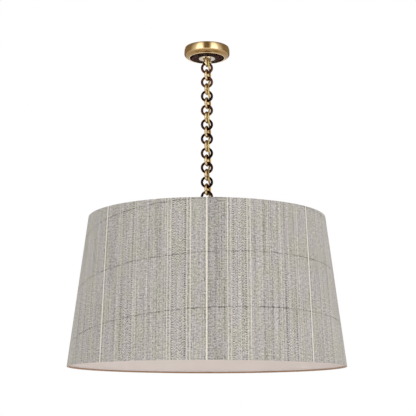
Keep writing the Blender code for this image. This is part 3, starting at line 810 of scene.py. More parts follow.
@dataclass(frozen=True)
class CordFinish:
    """Braided silky cord, read from the piece's own flat coordinates: metres along it, and turns round it."""

    name: str = "gold_braid"
    light: Colour = (0.98, 0.77, 0.27)
    dark: Colour = (0.22, 0.10, 0.014)
    pitch: float = 0.0052
    strands: float = 4.0
    roughness: float = 0.30
    metallic: float = 0.5
    sheen: float = 0.15

    def build(self, effects: Effects) -> bpy.types.Material:
        """Makes the material: the tone is low between strands and yarns, as painted shade in those crevices, and
        drifts slowly along the cord at random, as painted sheen and shade.

        Args:
            effects: The shared node groups.

        Returns:
            The finished material.
        """
        material, g, shader = new_material(self.name)
        flat = g.add("UVMap", uv_map="flat").outputs[0]
        along, around = g.split(flat)[:2]
        braid = effects.braid.use(g, Along=along, Around=around, Pitch=self.pitch, Strands=self.strands)
        yarn = g.ramp(g.grain(flat, 1800.0, 60.0, 3.0), 0.2, 0.6, 0.55, 1.0)
        # painted sheen and shade: the tone rises and falls at random along the cord
        sheen_drift = g.ramp(g.grain(flat, 38.0, 1.5, 1.0), 0.40, 0.58, 0.30, 1.15)
        # painted shade: darker between the strands
        tone = g.math("MULTIPLY", g.ramp(braid["Height"], 0.35, 0.95, 0.0, 1.0), yarn)
        tone = g.math("MULTIPLY_ADD", tone, 0.9, g.math("MULTIPLY", braid["Left"], 0.1))
        tone = g.math("MULTIPLY", tone, sheen_drift, clamp=True)
        values = {
            "Base Color": g.mix(tone, rgba(self.dark), rgba(self.light)),
            "Roughness": self.roughness,
            "Metallic": self.metallic,
            "Sheen Weight": self.sheen,
        }
        g.fill(shader, values)
        set_bump(g, shader, braid["Height"], 0.8, 0.0005)
        return material


@dataclass(frozen=True)
class ClothMap:
    """What every part of the cloth reads: its graph and groups, the flat cut, and the distances across and down."""

    graph: Graph
    effects: Effects
    flat: Value
    across: Value
    along: Value


@dataclass(frozen=True)
class ClothFinish:
    """The striped cloth, read from the flat cut: metres across the warp, and metres down it from the top edge.

    The warp stripes repeat across the cloth, and the weft lines run a little askew, as a hand-cut cloth lies. Places
    are metres from the main line, and a strength is a share of the full change of tone.
    """

    name: str = "striped_cloth"
    light: Colour = (0.776, 0.724, 0.690)
    dark: Colour = (0.090, 0.084, 0.081)
    cream: Colour = (0.850, 0.800, 0.680)
    tint: Colour = (0.982, 1.0, 0.925)
    ground: float = 0.52
    repeat: float = 0.297
    main_width: float = 0.0031
    main_strength: float = 0.95
    pairs: tuple[float, ...] = (0.0520, 0.1110, 0.1975, 0.2560)
    mates: tuple[float, ...] = (0.0600, 0.1030, 0.2055, 0.2475)
    faint: tuple[float, ...] = (0.1420, 0.1600, 0.1910)
    thin_width: float = 0.0015
    thin_strengths: Triple = (0.96, 0.76, 0.52)
    dark_lines: tuple[float, ...] = (0.0240, 0.0450, 0.1480, 0.1700, 0.1895, 0.0052, 0.2918)
    dark_width: float = 0.0030
    dark_strength: float = 0.17
    dotted: tuple[float, ...] = (0.0665, 0.0985, 0.2115, 0.2425)
    dotted_width: float = 0.0034
    dot_pitch: float = 0.0056
    twill: tuple[float, ...] = (0.0825, 0.2270)
    twill_width: float = 0.034
    twill_fold: float = 0.0082
    twill_pitch: float = 0.0072
    band_middle: float = 0.026
    band_halves: tuple[float, float] = (0.016, 0.026)
    band_strength: float = 0.070
    weft_repeat: float = 0.141
    weft_place: float = 0.004
    weft_width: float = 0.0032
    weft_strength: float = 0.30
    skew: float = 0.055
    warp_pitch: float = 0.00082
    weft_pitch: float = 0.00094
    bundle_pitch: float = 0.0027

    def lines(self, on: ClothMap, places: tuple[float, ...], width: float) -> Value:
        """Adds up one woven line for each place.

        Args:
            on: The cloth's coordinates.
            places: Where the lines lie in the repeat.
            width: Width of each line.

        Returns:
            A mask that is 1 on the lines.
        """
        total: Value = 0.0
        for place in places:
            line = on.effects.line.use(on.graph, Across=on.across, Place=place, Width=width, Repeat=self.repeat)
            total = on.graph.math("ADD", total, line["Mask"], clamp=True)
        return total

    def threads(self, on: ClothMap) -> tuple[Value, Value, Value]:
        """Tone of the yarns: long streaks down the warp, specks and slubs, and a number drawn for each yarn.

        Args:
            on: The cloth's coordinates.

        Returns:
            The tone about 0, the height of the weave, and the specks.
        """
        g, thread = on.graph, on.effects.thread
        warp = thread.use(g, Across=on.across, Pitch=self.warp_pitch, Seed=1.0)
        weft = thread.use(g, Across=on.along, Pitch=self.weft_pitch, Seed=2.0)
        bundle = thread.use(g, Across=on.across, Pitch=self.bundle_pitch, Seed=5.0)
        streaks = g.grain(on.flat, 360.0, 5.0, 1.0)
        slubs = g.grain(on.flat, 80.0, 320.0, 1.0)
        specks = g.grain(on.flat, 285.0, 255.0, 0.0)
        clouds = g.grain(on.flat, 16.0, 9.0)
        tone: Value = 0.0
        for value, amount in (
            (streaks, 0.47),
            (bundle["Tone"], 0.10),
            (slubs, 0.54),
            (specks, 0.70),
            (clouds, 0.12),
            (warp["Tone"], 0.09),
            (weft["Tone"], 0.06),
        ):
            tone = g.math("MULTIPLY_ADD", g.math("SUBTRACT", value, 0.5), amount, tone)
        height = g.math("MULTIPLY_ADD", slubs, 0.8, g.math("MAXIMUM", warp["Height"], weft["Height"]))
        return tone, height, specks

    def figure(self, on: ClothMap) -> Value:
        """The woven figure about 0: twill zones, dotted columns, dark warp lines, dark weft lines and one dark band.

        The twill is a sine of the distance down the cloth plus the distance across it folded to and fro.

        Args:
            on: The cloth's coordinates.

        Returns:
            What the figure adds to the tone.
        """
        g = on.graph
        fold = g.math("PINGPONG", on.across, self.twill_fold)
        slope = g.math("SINE", g.math("MULTIPLY", g.math("ADD", fold, on.along), math.tau / self.twill_pitch))
        clear = g.ramp(g.grain(on.flat, 40.0, 16.0, 1.0), 0.40, 0.60, 0.06, 0.15)
        tone = g.math("MULTIPLY", slope, g.math("MULTIPLY", self.lines(on, self.twill, self.twill_width), clear))
        dots = g.math("SINE", g.math("MULTIPLY", on.along, math.tau / self.dot_pitch))
        dots = g.math("MULTIPLY_ADD", dots, 0.30, 0.12)
        broken = g.ramp(g.grain(on.flat, 60.0, 22.0), 0.35, 0.62, 0.30, 1.0)
        wander = g.math("MULTIPLY", g.grain(on.flat, 30.0, 4.0), 0.004)
        patches = g.ramp(g.grain(on.flat, 34.0, 9.0, 3.0), 0.40, 0.60, 0.35, 1.0)
        weft_line = on.effects.line.use(
            g,
            Across=g.math("ADD", on.along, wander),
            Place=self.weft_place,
            Width=self.weft_width,
            Repeat=self.weft_repeat,
        )["Mask"]
        off_band = g.math("ABSOLUTE", g.math("SUBTRACT", on.across, self.band_middle))
        for mask, strength in (
            (self.lines(on, self.dotted, self.dotted_width), dots),
            (g.math("MULTIPLY", self.lines(on, self.dark_lines, self.dark_width), broken), self.dark_strength),
            (g.math("MULTIPLY", weft_line, patches), self.weft_strength),
            (g.ramp(off_band, *self.band_halves, 1.0, 0.0), self.band_strength),
        ):
            tone = g.math("SUBTRACT", tone, g.math("MULTIPLY", mask, strength))
        return tone

    def pale_lines(self, on: ClothMap, specks: Value) -> Value:
        """The main line and the thin ones.

        The thin ones are worn, and their strength goes as a cosine over two repeats, so that they are strongest by
        every other main line.

        Args:
            on: The cloth's coordinates.
            specks: The cloth's specks.

        Returns:
            A mask that is 1 on cream yarn.
        """
        g = on.graph
        thin: Value = 0.0
        for places, strength in zip((self.pairs, self.mates, self.faint), self.thin_strengths):
            thin = g.math("MAXIMUM", thin, g.math("MULTIPLY", self.lines(on, places, self.thin_width), strength))
        every_other = g.math("COSINE", g.math("MULTIPLY", on.across, math.pi / self.repeat))
        thin = g.math("MULTIPLY", thin, g.math("MULTIPLY_ADD", every_other, 0.30, 0.72))
        thin = g.math("MULTIPLY", thin, g.ramp(specks, 0.30, 0.55, 0.80, 1.0))
        main = g.math("MULTIPLY", self.lines(on, (0.0,), self.main_width), self.main_strength)
        return g.math("MAXIMUM", main, thin)

    def build(self, effects: Effects) -> bpy.types.Material:
        """Makes the material.

        Args:
            effects: The shared node groups.

        Returns:
            The finished material.
        """
        material, g, shader = new_material(self.name)
        flat = g.add("UVMap", uv_map="flat").outputs[0]
        across, down = g.split(flat)[:2]
        on = ClothMap(g, effects, flat, across, g.math("MULTIPLY_ADD", across, self.skew, down))
        yarn, height, specks = self.threads(on)
        tone = g.math("ADD", g.math("ADD", yarn, self.figure(on)), self.ground, clamp=True)
        colour = g.mix(tone, rgba(self.dark), rgba(self.light))
        tinted = g.ramp(g.grain(flat, 36.0, 13.0), 0.42, 0.58, 0.0, 1.0)
        colour = g.mix(tinted, colour, g.mix(1.0, colour, rgba(self.tint), "MULTIPLY"))
        values = {
            "Base Color": g.mix(self.pale_lines(on, specks), colour, rgba(self.cream)),
            "Roughness": 0.9,
            "Specular IOR Level": 0.2,
            "Sheen Weight": 0.12,
        }
        g.fill(shader, values)
        set_bump(g, shader, height, 0.22, 0.0003)
        return material


class Palette:
    """Every finish of the lamp, built once and handed out by name."""

    brass = MetalFinish("satin_brass", (0.740, 0.510, 0.215), (0.600, 0.385, 0.140), 0.24)
    spun_brass = MetalFinish(
        "spun_brass", (0.800, 0.635, 0.370), (0.740, 0.550, 0.280), 0.17, 0.03, spun=True, broad=14.0, streak=0.5
    )
    # canopy_brass has painted shade on the cup's lower curve, darker towards the disc
    canopy_brass = replace(
        spun_brass,
        name="canopy_brass",
        painted_shade=(0.340, 0.205, 0.078),
        shade_from=-0.0192,
        shade_to=-0.0250,
        shade_stops_within=0.0520,
    )
    link_brass = MetalFinish(
        "polished_brass", (0.970, 0.820, 0.500), (0.380, 0.175, 0.045), 0.09, 0.04, broad=150.0, cover=0.85, edge=0.1
    )
    # painted highlight: a paler copy of the brass, for the bright bosses of the top loop
    highlight_brass = MetalFinish("highlight_brass", (0.980, 0.880, 0.600), (0.900, 0.740, 0.440), 0.45)
    # painted shade: a darker copy of the brass, for the shadowed arms of the top loop
    brown_brass = MetalFinish("painted_shade_brass", (0.320, 0.160, 0.055), (0.140, 0.060, 0.020), 0.30, broad=110.0)
    dark = MetalFinish(
        "dark_bronze", (0.042, 0.013, 0.006), (0.008, 0.003, 0.002), 0.16, 0.06, broad=22.0, cover=1.0, edge=0.0
    )
    worn_dark = MetalFinish(
        "worn_bronze", (0.130, 0.042, 0.020), (0.030, 0.010, 0.006), 0.16, 0.06, broad=30.0, cover=1.0, edge=0.0
    )
    dark_disc = DiscFinish()
    pale = MetalFinish(
        "pale_brass", (0.680, 0.600, 0.495), (0.340, 0.285, 0.215), 0.16, 0.06, spun=True, broad=210.0, cover=0.9
    )
    steel = MetalFinish("zinc_steel", (0.520, 0.520, 0.500), (0.400, 0.390, 0.350), 0.38, 0.14)
    hem = MetalFinish("bronze_wire", (0.420, 0.245, 0.140), (0.300, 0.165, 0.090), 0.50, metallic=0.15)
    rubber = PlainFinish("black_rubber", (0.022, 0.022, 0.022), (0.035, 0.034, 0.033), 0.75)
    socket = PlainFinish("socket_shell", (0.020, 0.020, 0.022), (0.034, 0.033, 0.034), 0.42, coat=0.2)
    lining = PlainFinish("lining_film", (0.840, 0.765, 0.725), (0.810, 0.730, 0.690), 0.62, 1400.0, 0.0001)
    glass = PlainFinish(
        "opal_glass", (0.900, 0.890, 0.855), (0.870, 0.855, 0.815), 0.22, 300.0, 0.0001, strength=0.05, coat=0.6
    )
    cord = CordFinish()
    cloth = ClothFinish()

    def __init__(self) -> None:
        """Makes the shared groups, and nothing else until a finish is asked for."""
        self.effects = Effects.make()
        self.made: dict[str, bpy.types.Material] = {}

    def get(self, name: str) -> bpy.types.Material:
        """The material of a finish.

        Args:
            name: The finish's attribute name.

        Returns:
            The material, built at the first call.
        """
        if name not in self.made:
            self.made[name] = getattr(self, name).build(self.effects)
        return self.made[name]


# Sizes that the sub-assemblies share


@dataclass(frozen=True)
class ChainSizes:
    """Sizes of the links and of the cord woven through them."""

    top: float = -0.0390
    outer: float = 0.0175
    wire: float = 0.00345
    lean: float = math.radians(15.0)
    links: int = 20
    cord: float = 0.0025
    cord_top: float = -0.0145
    swing: float = 0.0105

    @property
    def radius(self) -> float:
        """Radius of a link's own middle line."""
        return self.outer - self.wire

    @property
    def pitch(self) -> float:
        """Distance from one link's middle to the next."""
        return 2 * (self.radius - self.wire) - GAP

    @property
    def offset(self) -> float:
        """Distance from the brass links' plane to the cord's middle."""
        return self.wire + GAP + self.cord

    def height(self, number: float) -> float:
        """Height of a link's middle, with 0 for the top loop."""
        return self.top - number * self.pitch

    def brass_across(self) -> Vector:
        """Direction in plan of the brass links' plane."""
        return Vector((math.sin(self.lean), math.cos(self.lean), 0))

    def cord_at(self, height: np.ndarray) -> np.ndarray:
        """Middle of the cord at given heights.

        Along the brass links' plane it is offset tan(lean) - swing cos(phase), with half a wave to every two
        pitches, and across that plane it keeps the offset.

        Args:
            height: Heights.

        Returns:
            Points, one to each height.
        """
        phase = (height - self.height(0)) / (2 * self.pitch) * math.pi
        along = self.offset * math.tan(self.lean) - self.swing * np.cos(phase)
        x = along * math.sin(self.lean) + self.offset * math.cos(self.lean)
        y = along * math.cos(self.lean) - self.offset * math.sin(self.lean)
        return np.stack([x, y, height], -1)

    def cord_point(self, number: float) -> np.ndarray:
        """Middle of the cord at the height of a link's middle."""
        return self.cord_at(np.array([self.height(number)]))[0]


@dataclass(frozen=True)
class ShadeSizes:
    """Sizes of the tapered shade."""

    top_radius: float = 0.330
    bottom_radius: float = 0.381
    top: float = -0.5017
    bottom: float = -0.9117
    cloth: float = 0.0010
    film: float = 0.0008
    wire: float = 0.0018

    def radius(self, height: float | np.ndarray) -> float | np.ndarray:
        """Outer radius of the cloth at a height, or at each of several: a straight taper."""
        share = (self.top - height) / (self.top - self.bottom)
        return self.top_radius + (self.bottom_radius - self.top_radius) * share

    @property
    def slant(self) -> float:
        """Length of the shade's side."""
        return math.hypot(self.bottom_radius - self.top_radius, self.top - self.bottom)

    @property
    def sine(self) -> float:
        """Sine of the angle between the side and the axis."""
        return (self.bottom_radius - self.top_radius) / self.slant

    def flat(self, radius: np.ndarray, angle: np.ndarray) -> np.ndarray:
        """Place of a point of the side on the flat cut.

        The cone unrolls round its apex: at distance d = radius / sine from the apex and angle a sine from the
        front line, the cut's coordinates are d sin(a sine), and d cos(a sine) less the apex's distance to the top.

        Args:
            radius: Radius of the side there.
            angle: Angle round the axis from the front.

        Returns:
            Flat coordinates in metres.
        """
        reach, spread = radius / self.sine, angle * self.sine
        top = self.top_radius / self.sine
        return np.stack([reach * np.sin(spread), reach * np.cos(spread) - top], -1)


CHAIN = ChainSizes()
SHADE = ShadeSizes()


# Sub-assemblies


@dataclass(frozen=True)
class NutSize:
    """Size of a hexagon nut: the width across its flats, the radius of its hole, and its height."""

    flats: float
    hole: float
    height: float


@dataclass
class Assembly:
    """Shared steps of every sub-assembly."""

    palette: Palette
    body: str = "canopy"
    made: list[str] = field(default_factory=list)

    def clad(self, item: bpy.types.Object, finish: str, slot: Slot, node: str) -> bpy.types.Object:
        """Gives a piece its material, hides the CAD node that it stands for, and lists the piece.

        Args:
            item: The piece.
            finish: Attribute name of the finish in the palette.
            slot: The record's material slot; not used.
            node: CAD node that the piece replaces.

        Returns:
            The piece.
        """
        item.data.materials.append(self.palette.get(finish))
        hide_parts(node)
        self.made.append(item.name)
        return item

    def finish(
        self, item: bpy.types.Object, finish: str, slot: Slot, node: str, body: str | None = None
    ) -> bpy.types.Object:
        """Clads a piece that rides on one body.

        Args:
            item: The piece.
            finish: Attribute name of the finish in the palette.
            slot: The record's material slot.
            node: CAD node that the piece replaces.
            body: Body that it rides on, or None for the sub-assembly's own.

        Returns:
            The piece.
        """
        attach(self.clad(item, finish, slot, node), body or self.body)
        return item

    def dress(self, node: str, finish: str) -> None:
        """Gives a CAD node that stays in view its finish."""
        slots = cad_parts[node].data.materials
        slots.clear()
        slots.append(self.palette.get(finish))
        self.made.append(node)

    def turned(
        self,
        name: str,
        outline: np.ndarray,
        finish: str,
        slot: Slot,
        node: str,
        sides: int = 96,
        middle: Plan = AXIS,
        ringed: bool = False,
        sharp: float = 38.0,
    ) -> bpy.types.Object:
        """A turned piece.

        Args:
            name: The piece's name.
            outline: Rows of (radius, height), from axis to axis, or closed on itself where ringed.
            finish: Attribute name of the finish.
            slot: The record's material slot.
            node: CAD node that it replaces.
            sides: Steps in the turn.
            middle: Where its axis stands in plan.
            ringed: Whether the outline is closed on itself.
            sharp: Angle above which an edge stays sharp.

        Returns:
            The piece.
        """
        skin = Skin(name).grid(turn(outline, sides, middle), wrap_rows=ringed)
        return self.finish(skin.build(sharp), finish, slot, node)

    def nut(self, name: str, size: NutSize, low: float, middle: Plan, node: str) -> bpy.types.Object:
        """A hexagon nut with chamfered corners.

        Its rows run from the hole's lower rim out to the hexagon and back to the hole. The chamfered rows lie at the
        lesser of the hexagon's own distance and a circle just over the flats.

        Args:
            name: The piece's name.
            size: Its size.
            low: Height of the lower face.
            middle: Where it stands in plan.
            node: CAD node that it replaces.

        Returns:
            The piece.
        """
        sides = 96
        angle = bearings(sides)
        edge = hexagon(angle, size.flats)
        circle = np.minimum(edge, size.flats * 0.515)
        soft, high = size.height * 0.12, low + size.height
        bore, mouth = np.full(sides, size.hole), np.full(sides, size.hole + soft)
        half = [(bore, soft), (mouth, 0.0), (circle * 0.98, 0.0), (circle, soft * 0.4), (edge, soft * 1.6)]
        radius = np.array([row for row, _ in half + half[::-1]])
        z = np.array([low + rise for _, rise in half] + [high - rise for _, rise in half[::-1]])[:, None]
        spots = (middle[0] + radius * np.cos(angle), middle[1] + radius * np.sin(angle), np.repeat(z, sides, 1))
        skin = Skin(name).grid(np.stack(spots, -1), wrap_rows=True)
        return self.finish(skin.build(30), "steel", Slot.STEEL, node)


@dataclass
class Canopy(Assembly):
    """The spun cup at the ceiling with what is fixed to it."""

    radius: float = 0.0650
    bottom: float = -0.0295
    wall: float = 0.0012
    edge_drop: float = 0.0110
    edge_run: float = 0.0135
    draw_in: float = 0.0026
    bead: float = 0.0013
    disc_radius: float = 0.0490
    disc_top: float = -0.0298
    disc_low: float = -0.0310
    plate_radius: float = 0.0236
    plate_top: float = -0.0313
    plate_low: float = -0.0333
    boss_spread: float = 0.0067
    boss_reach: float = 0.0246
    boss_radius: float = 0.0041
    boss_height: float = 0.0032
    arm_radius: float = 0.0021
    tie_radius: float = 0.0012
    stud_radius: float = 0.0020
    stud_top: float = -0.0210
    stud_room: float = 0.0025
    stud_nut: NutSize = NutSize(0.0070, 0.0023, 0.0032)
    backing_radius: float = 0.0210
    backing_top: float = -0.0255
    backing_low: float = -0.0280
    nipple_radius: float = 0.0050
    nipple_bore: float = 0.0036
    nipple_nut: NutSize = NutSize(0.0130, 0.0053, 0.0040)
    thread_pitch: float = 0.0010
    thread_depth: float = 0.0004
    bush_wall: float = 0.0008

    def foot_offset(self) -> float:
        """Distance in plan from the chain's axis to the loop's studs, which stand clear of the cord."""
        return abs(CHAIN.cord_point(0)[1]) + CHAIN.cord + GAP + self.stud_room

    def side(self, inset: float) -> np.ndarray:
        """The cup's side from its underside up to the ceiling.

        A quarter ellipse turns the underside up to the widest place, and from there the radius falls by
        draw_in (h / H)^3 up to the ceiling, at height h of the H that is left.

        Args:
            inset: How far inside the outer face the line lies.

        Returns:
            Rows of (radius, height), from the underside up.
        """
        bend = np.linspace(-math.pi / 2, 0, 24)
        flat, shoulder = self.radius - self.edge_run, self.bottom + self.edge_drop
        run, drop = self.edge_run - inset, self.edge_drop - inset
        edge = np.c_[flat + run * np.cos(bend), shoulder + drop * np.sin(bend)]
        share = np.linspace(0, 1, 12)[1:]
        rise = np.c_[self.radius - inset - self.draw_in * share**3, shoulder * (1 - share)]
        return np.vstack([edge, rise])

    def shell(self) -> None:
        """The cup, with a half-round bead where its side meets the disc, and a rolled upper edge."""
        outer, inner = self.side(0.0), self.side(self.wall)[::-1]
        lip = soften([tuple(outer[-2]), tuple(outer[-1]), tuple(inner[0]), tuple(inner[1])], 0.0005)
        half_turn = np.linspace(math.pi, math.tau, 12)
        middle = self.disc_radius + 0.0004 + self.bead
        bead = np.c_[middle + self.bead * np.cos(half_turn), self.bottom + self.bead * np.sin(half_turn)]
        outline = np.vstack([[(0, self.bottom)], bead, outer[3:-2], lip, inner[2:-1], [(0, self.bottom + self.wall)]])
        self.turned("canopy_cup", outline, "canopy_brass", Slot.BRASS, "canopy_shell", sides=160, sharp=50)

    def underside(self) -> None:
        """The dark disc with a raised rim, and the pale plate with a stepped, rounded edge."""
        low, rim, inner = self.disc_low, self.disc_radius, self.plate_radius
        disc = [
            (0, self.disc_top),
            (rim, self.disc_top),
            (rim, low + 0.0002),
            (rim - 0.0008, low - 0.0002),
            (rim - 0.0022, low - 0.0002),
            (rim - 0.0030, low + 0.0002),
            (inner + 0.0030, low + 0.0002),
            (inner + 0.0022, low - 0.0001),
            (inner + 0.0010, low - 0.0001),
            (inner + 0.0004, low + 0.0002),
            (0, low + 0.0002),
        ]
        self.turned("dark_disc", soften(disc, 0.0004), "dark_disc", Slot.DARK, "canopy_disc", sides=144)
        low, high, rim = self.plate_low, self.plate_top, self.plate_radius
        plate = [
            (0, high),
            (rim, high),
            (rim, high - 0.0007),
            (rim - 0.0006, low + 0.0007),
            (rim - 0.0020, low + 0.0001),
            (rim - 0.0036, low),
            (0, low),
        ]
        self.turned("pale_plate", soften(plate, 0.0006), "pale", Slot.PALE, "escutcheon", sides=128)

    def hook(self, leg: np.ndarray, sign: int, side: int) -> tuple[np.ndarray, np.ndarray]:
        """One hooked arm of the top loop, and the domed boss that it ends in.

        The arm is a curve from the leg's side over a knee to the boss, and thins on its way. The dome's height is
        that of a quarter ellipse.

        Args:
            leg: Where the leg gives off its arms.
            sign: -1 for the near leg, 1 for the far one.
            side: -1 for the arm to the left, 1 for that to the right.

        Returns:
            The arm's grid and the boss's grid.
        """
        plate = self.plate_low - GAP
        x, y = side * self.boss_spread + leg[0] * 0.55, sign * self.boss_reach
        t = np.linspace(0, 1, 15)[:, None]
        root = leg + np.array((side * 0.0022, 0, 0))
        knee = np.array((x + side * 0.0016, y - sign * 0.002, CHAIN.top - 0.0048))
        arm = curve(root, knee, np.array((x, y, plate - 0.0016)), t)
        rise = np.linspace(math.pi / 2, 0, 9)
        dome = np.c_[self.boss_radius * np.cos(rise), plate - 0.0008 - self.boss_height * np.sin(rise)]
        dome[0, 0] = 0
        dome = np.vstack([dome, [(self.boss_radius, plate), (0, plate)]])
        return rounded(arm, self.arm_radius - 0.0003 * t[:, 0]), turn(dome, 28, (x, y))

    def top_loop(self) -> None:
        """The U that holds the first link, its studs and nuts, and two hooked arms to each leg with a tie between.

        The U is a half ring with upright legs.
        """
        across = np.array(CHAIN.brass_across())
        bend = np.linspace(math.pi, math.tau, 53)
        arc = np.c_[CHAIN.radius * np.cos(bend), CHAIN.top + CHAIN.radius * np.sin(bend)]
        up, out = np.linspace(self.plate_low - 0.0004, CHAIN.top, 5)[:-1], np.full(4, CHAIN.radius)
        arc = np.vstack([np.c_[-out, up], arc, np.c_[out, up[::-1]]])
        bow, arms, bosses = Skin("top_loop_bend"), Skin("top_loop_arms"), Skin("top_loop_bosses")
        bow.grid(sweep(*capped(upright(arc, across), CHAIN.wire), 28, tuple(np.cross(across, UP))))
        plate, foot = self.plate_low - GAP, self.foot_offset()
        for sign in (-1, 1):
            leg = sign * CHAIN.radius * across + (CHAIN.top - 0.0030) * UP
            for side in (-1, 1):
                arm, boss = self.hook(leg, sign, side)
                arms.grid(arm)
                bosses.grid(boss)
            stud = slug(self.stud_radius, plate - 0.0015, self.stud_top, 0.0004)
            bow.grid(turn(stud, 24, (0.0, sign * foot)))
            tie = np.linspace(-1, 1, 13)[:, None] * np.array((self.boss_spread, 0, 0))
            tie = tie + np.array((0, sign * foot, plate - 0.0012))
            arms.grid(rounded(tie, np.full(13, self.tie_radius)))
        # the arms get painted shade and the bosses a painted highlight, all on one brass casting
        for skin, finish in ((bow, "link_brass"), (arms, "brown_brass"), (bosses, "highlight_brass")):
            self.finish(skin.build(), finish, Slot.BRASS, "top_loop")
        for label, y in (("near", -foot), ("far", foot)):
            self.nut(f"stud_nut_{label}", self.stud_nut, self.backing_top + GAP, (0.0, y), f"loop_nut_{label}")

    def nipple(self) -> Skin:
        """The nipple with its thread: the radius falls and rises evenly once in each pitch, round and round."""
        sides, low = 72, self.backing_low
        height, angle = np.linspace(low, 0.0, 120)[:, None], bearings(sides)[None]
        turns = height / self.thread_pitch + angle / math.tau
        radius = self.nipple_radius - self.thread_depth * np.abs(2 * np.mod(turns, 1) - 1)
        thread = np.stack([radius * np.cos(angle), radius * np.sin(angle), np.repeat(height, sides, 1)], -1)
        bore = turn(np.array([(self.nipple_bore, 0.0), (self.nipple_bore, low)]), sides)
        return Skin("thread_tube").grid(np.concatenate([thread, bore]), wrap_rows=True)

    def inside(self) -> None:
        """What hangs the canopy and brings in the cord: plate, nipple, nut, bush and connectors, and the strap."""
        low, high = self.backing_low, self.backing_top
        plate = slug(self.backing_radius, low, high, 0.0004)
        self.turned("backing_disc", plate, "steel", Slot.STEEL, "backing_plate", sides=80)
        self.finish(self.nipple().build(50), "steel", Slot.STEEL, "threaded_nipple")
        self.nut("nipple_lock_nut", self.nipple_nut, high + GAP, AXIS, "nipple_nut")
        x, y = CHAIN.cord_point(0)[:2]
        hole, foot = CHAIN.cord + GAP, CHAIN.cord_top + GAP
        bush = sleeve(hole, hole + self.bush_wall, self.plate_low, high, 0.0002)
        self.turned("cord_grommet", bush, "rubber", Slot.RUBBER, "cord_bush", 48, (x, y), True)
        cone = [(0, foot), (0.0030, foot), (0.0028, foot + 0.0018), (0.0019, foot + 0.0085), (0, foot + 0.0085)]
        for side, label in ((-1, "left"), (1, "right")):
            name, node, middle = f"twist_cap_{label}", f"wire_connector_{label}", (x + side * 0.0033, y)
            self.turned(name, soften(cone, 0.0005), "rubber", Slot.RUBBER, node, 36, middle)
            self.dress(f"box_screw_{label}", "steel")
        self.dress("mounting_strap", "steel")

    def build(self) -> None:
        """Builds the canopy's pieces."""
        self.shell()
        self.underside()
        self.top_loop()
        self.inside()


@dataclass
class Chain(Assembly):
    """Twenty linked rings, dark ones facing the viewer and brass ones edge-on."""

    sides: int = 96
    facets: int = 28
    worn: tuple[int, ...] = (1, 3, 7)

    def link(self, number: int) -> None:
        """One ring on its own body.

        Args:
            number: Place in the chain, from 1.
        """
        if LinkKind.at(number) is LinkKind.DARK:
            across, slot, finish = Vector((1, 0, 0)), Slot.DARK, "worn_dark" if number in self.worn else "dark"
        else:
            across, slot, finish = CHAIN.brass_across(), Slot.BRASS, "link_brass"
        middle = Vector((0, 0, CHAIN.height(number)))
        points = ring(middle, CHAIN.radius, CHAIN.wire, across, Vector(UP), self.sides, self.facets)
        item = Skin(link_name(number, "ring")).grid(points, wrap_rows=True).build()
        self.finish(item, finish, slot, link_name(number), link_name(number))

    def build(self) -> None:
        """Builds every link."""
        for number in range(1, CHAIN.links + 1):
            self.link(number)


@dataclass
class LampCord(Assembly):
    """The braided cord, in one piece to each joint between two bodies.

    Its run is the length of the cord made so far.
    """

    facets: int = 24
    steps: int = 22
    gland: float = -0.6164
    run: float = 0.0

    def tube(self, name: str, path: np.ndarray) -> bpy.types.Object:
        """One length of cord with closed ends, whose flat coordinates run on from the length before.

        Args:
            name: The piece's name.
            path: Its middle line.

        Returns:
            The piece.
        """
        along = self.run + np.concatenate([[0], np.cumsum(np.linalg.norm(np.diff(path, axis=0), axis=1))])
        self.run = float(along[-1])
        path, along = (np.concatenate([line[:1], line, line[-1:]]) for line in (path, along))
        points = np.repeat(path[:, None], self.facets, axis=1)
        points[1:-1] = sweep(path[1:-1], CHAIN.cord, self.facets, (1.0, 0.0, 0.0))
        uv = np.stack(np.meshgrid(along, np.linspace(0, 1, self.facets + 1), indexing="ij"), -1)
        return self.clad(Skin(name).grid(points, uv=uv).build(50), "cord", Slot.CORD, "lamp_cord")

    def build(self) -> None:
        """Builds the straight entry, the woven lengths and the straight run to the cluster."""
        entry = CHAIN.cord_point(0)
        top = np.array([entry[0], entry[1], CHAIN.cord_top])
        path = top + (entry - top) * np.linspace(0, 1, 14)[:, None]
        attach(self.tube("cord_entry", path), "canopy")
        bodies = ["canopy", *(link_name(number) for number in range(1, CHAIN.links + 1)), "lamp"]
        for number, (upper, lower) in enumerate(zip(bodies, bodies[1:])):
            heights = np.linspace(CHAIN.height(number), CHAIN.height(number + 1), self.steps)
            item = self.tube(f"cord_{number + 1:02d}", CHAIN.cord_at(heights))
            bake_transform(item)
        heights = np.linspace(CHAIN.height(CHAIN.links + 1), CHAIN.height(CHAIN.links + 2), self.steps)
        weave = CHAIN.cord_at(heights)
        end = np.array([weave[-1, 0], weave[-1, 1], self.gland])
        path = np.vstack([weave, weave[-1] + (end - weave[-1]) * np.linspace(0, 1, 24)[1:, None]])
        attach(self.tube("cord_exit", path), "lamp")


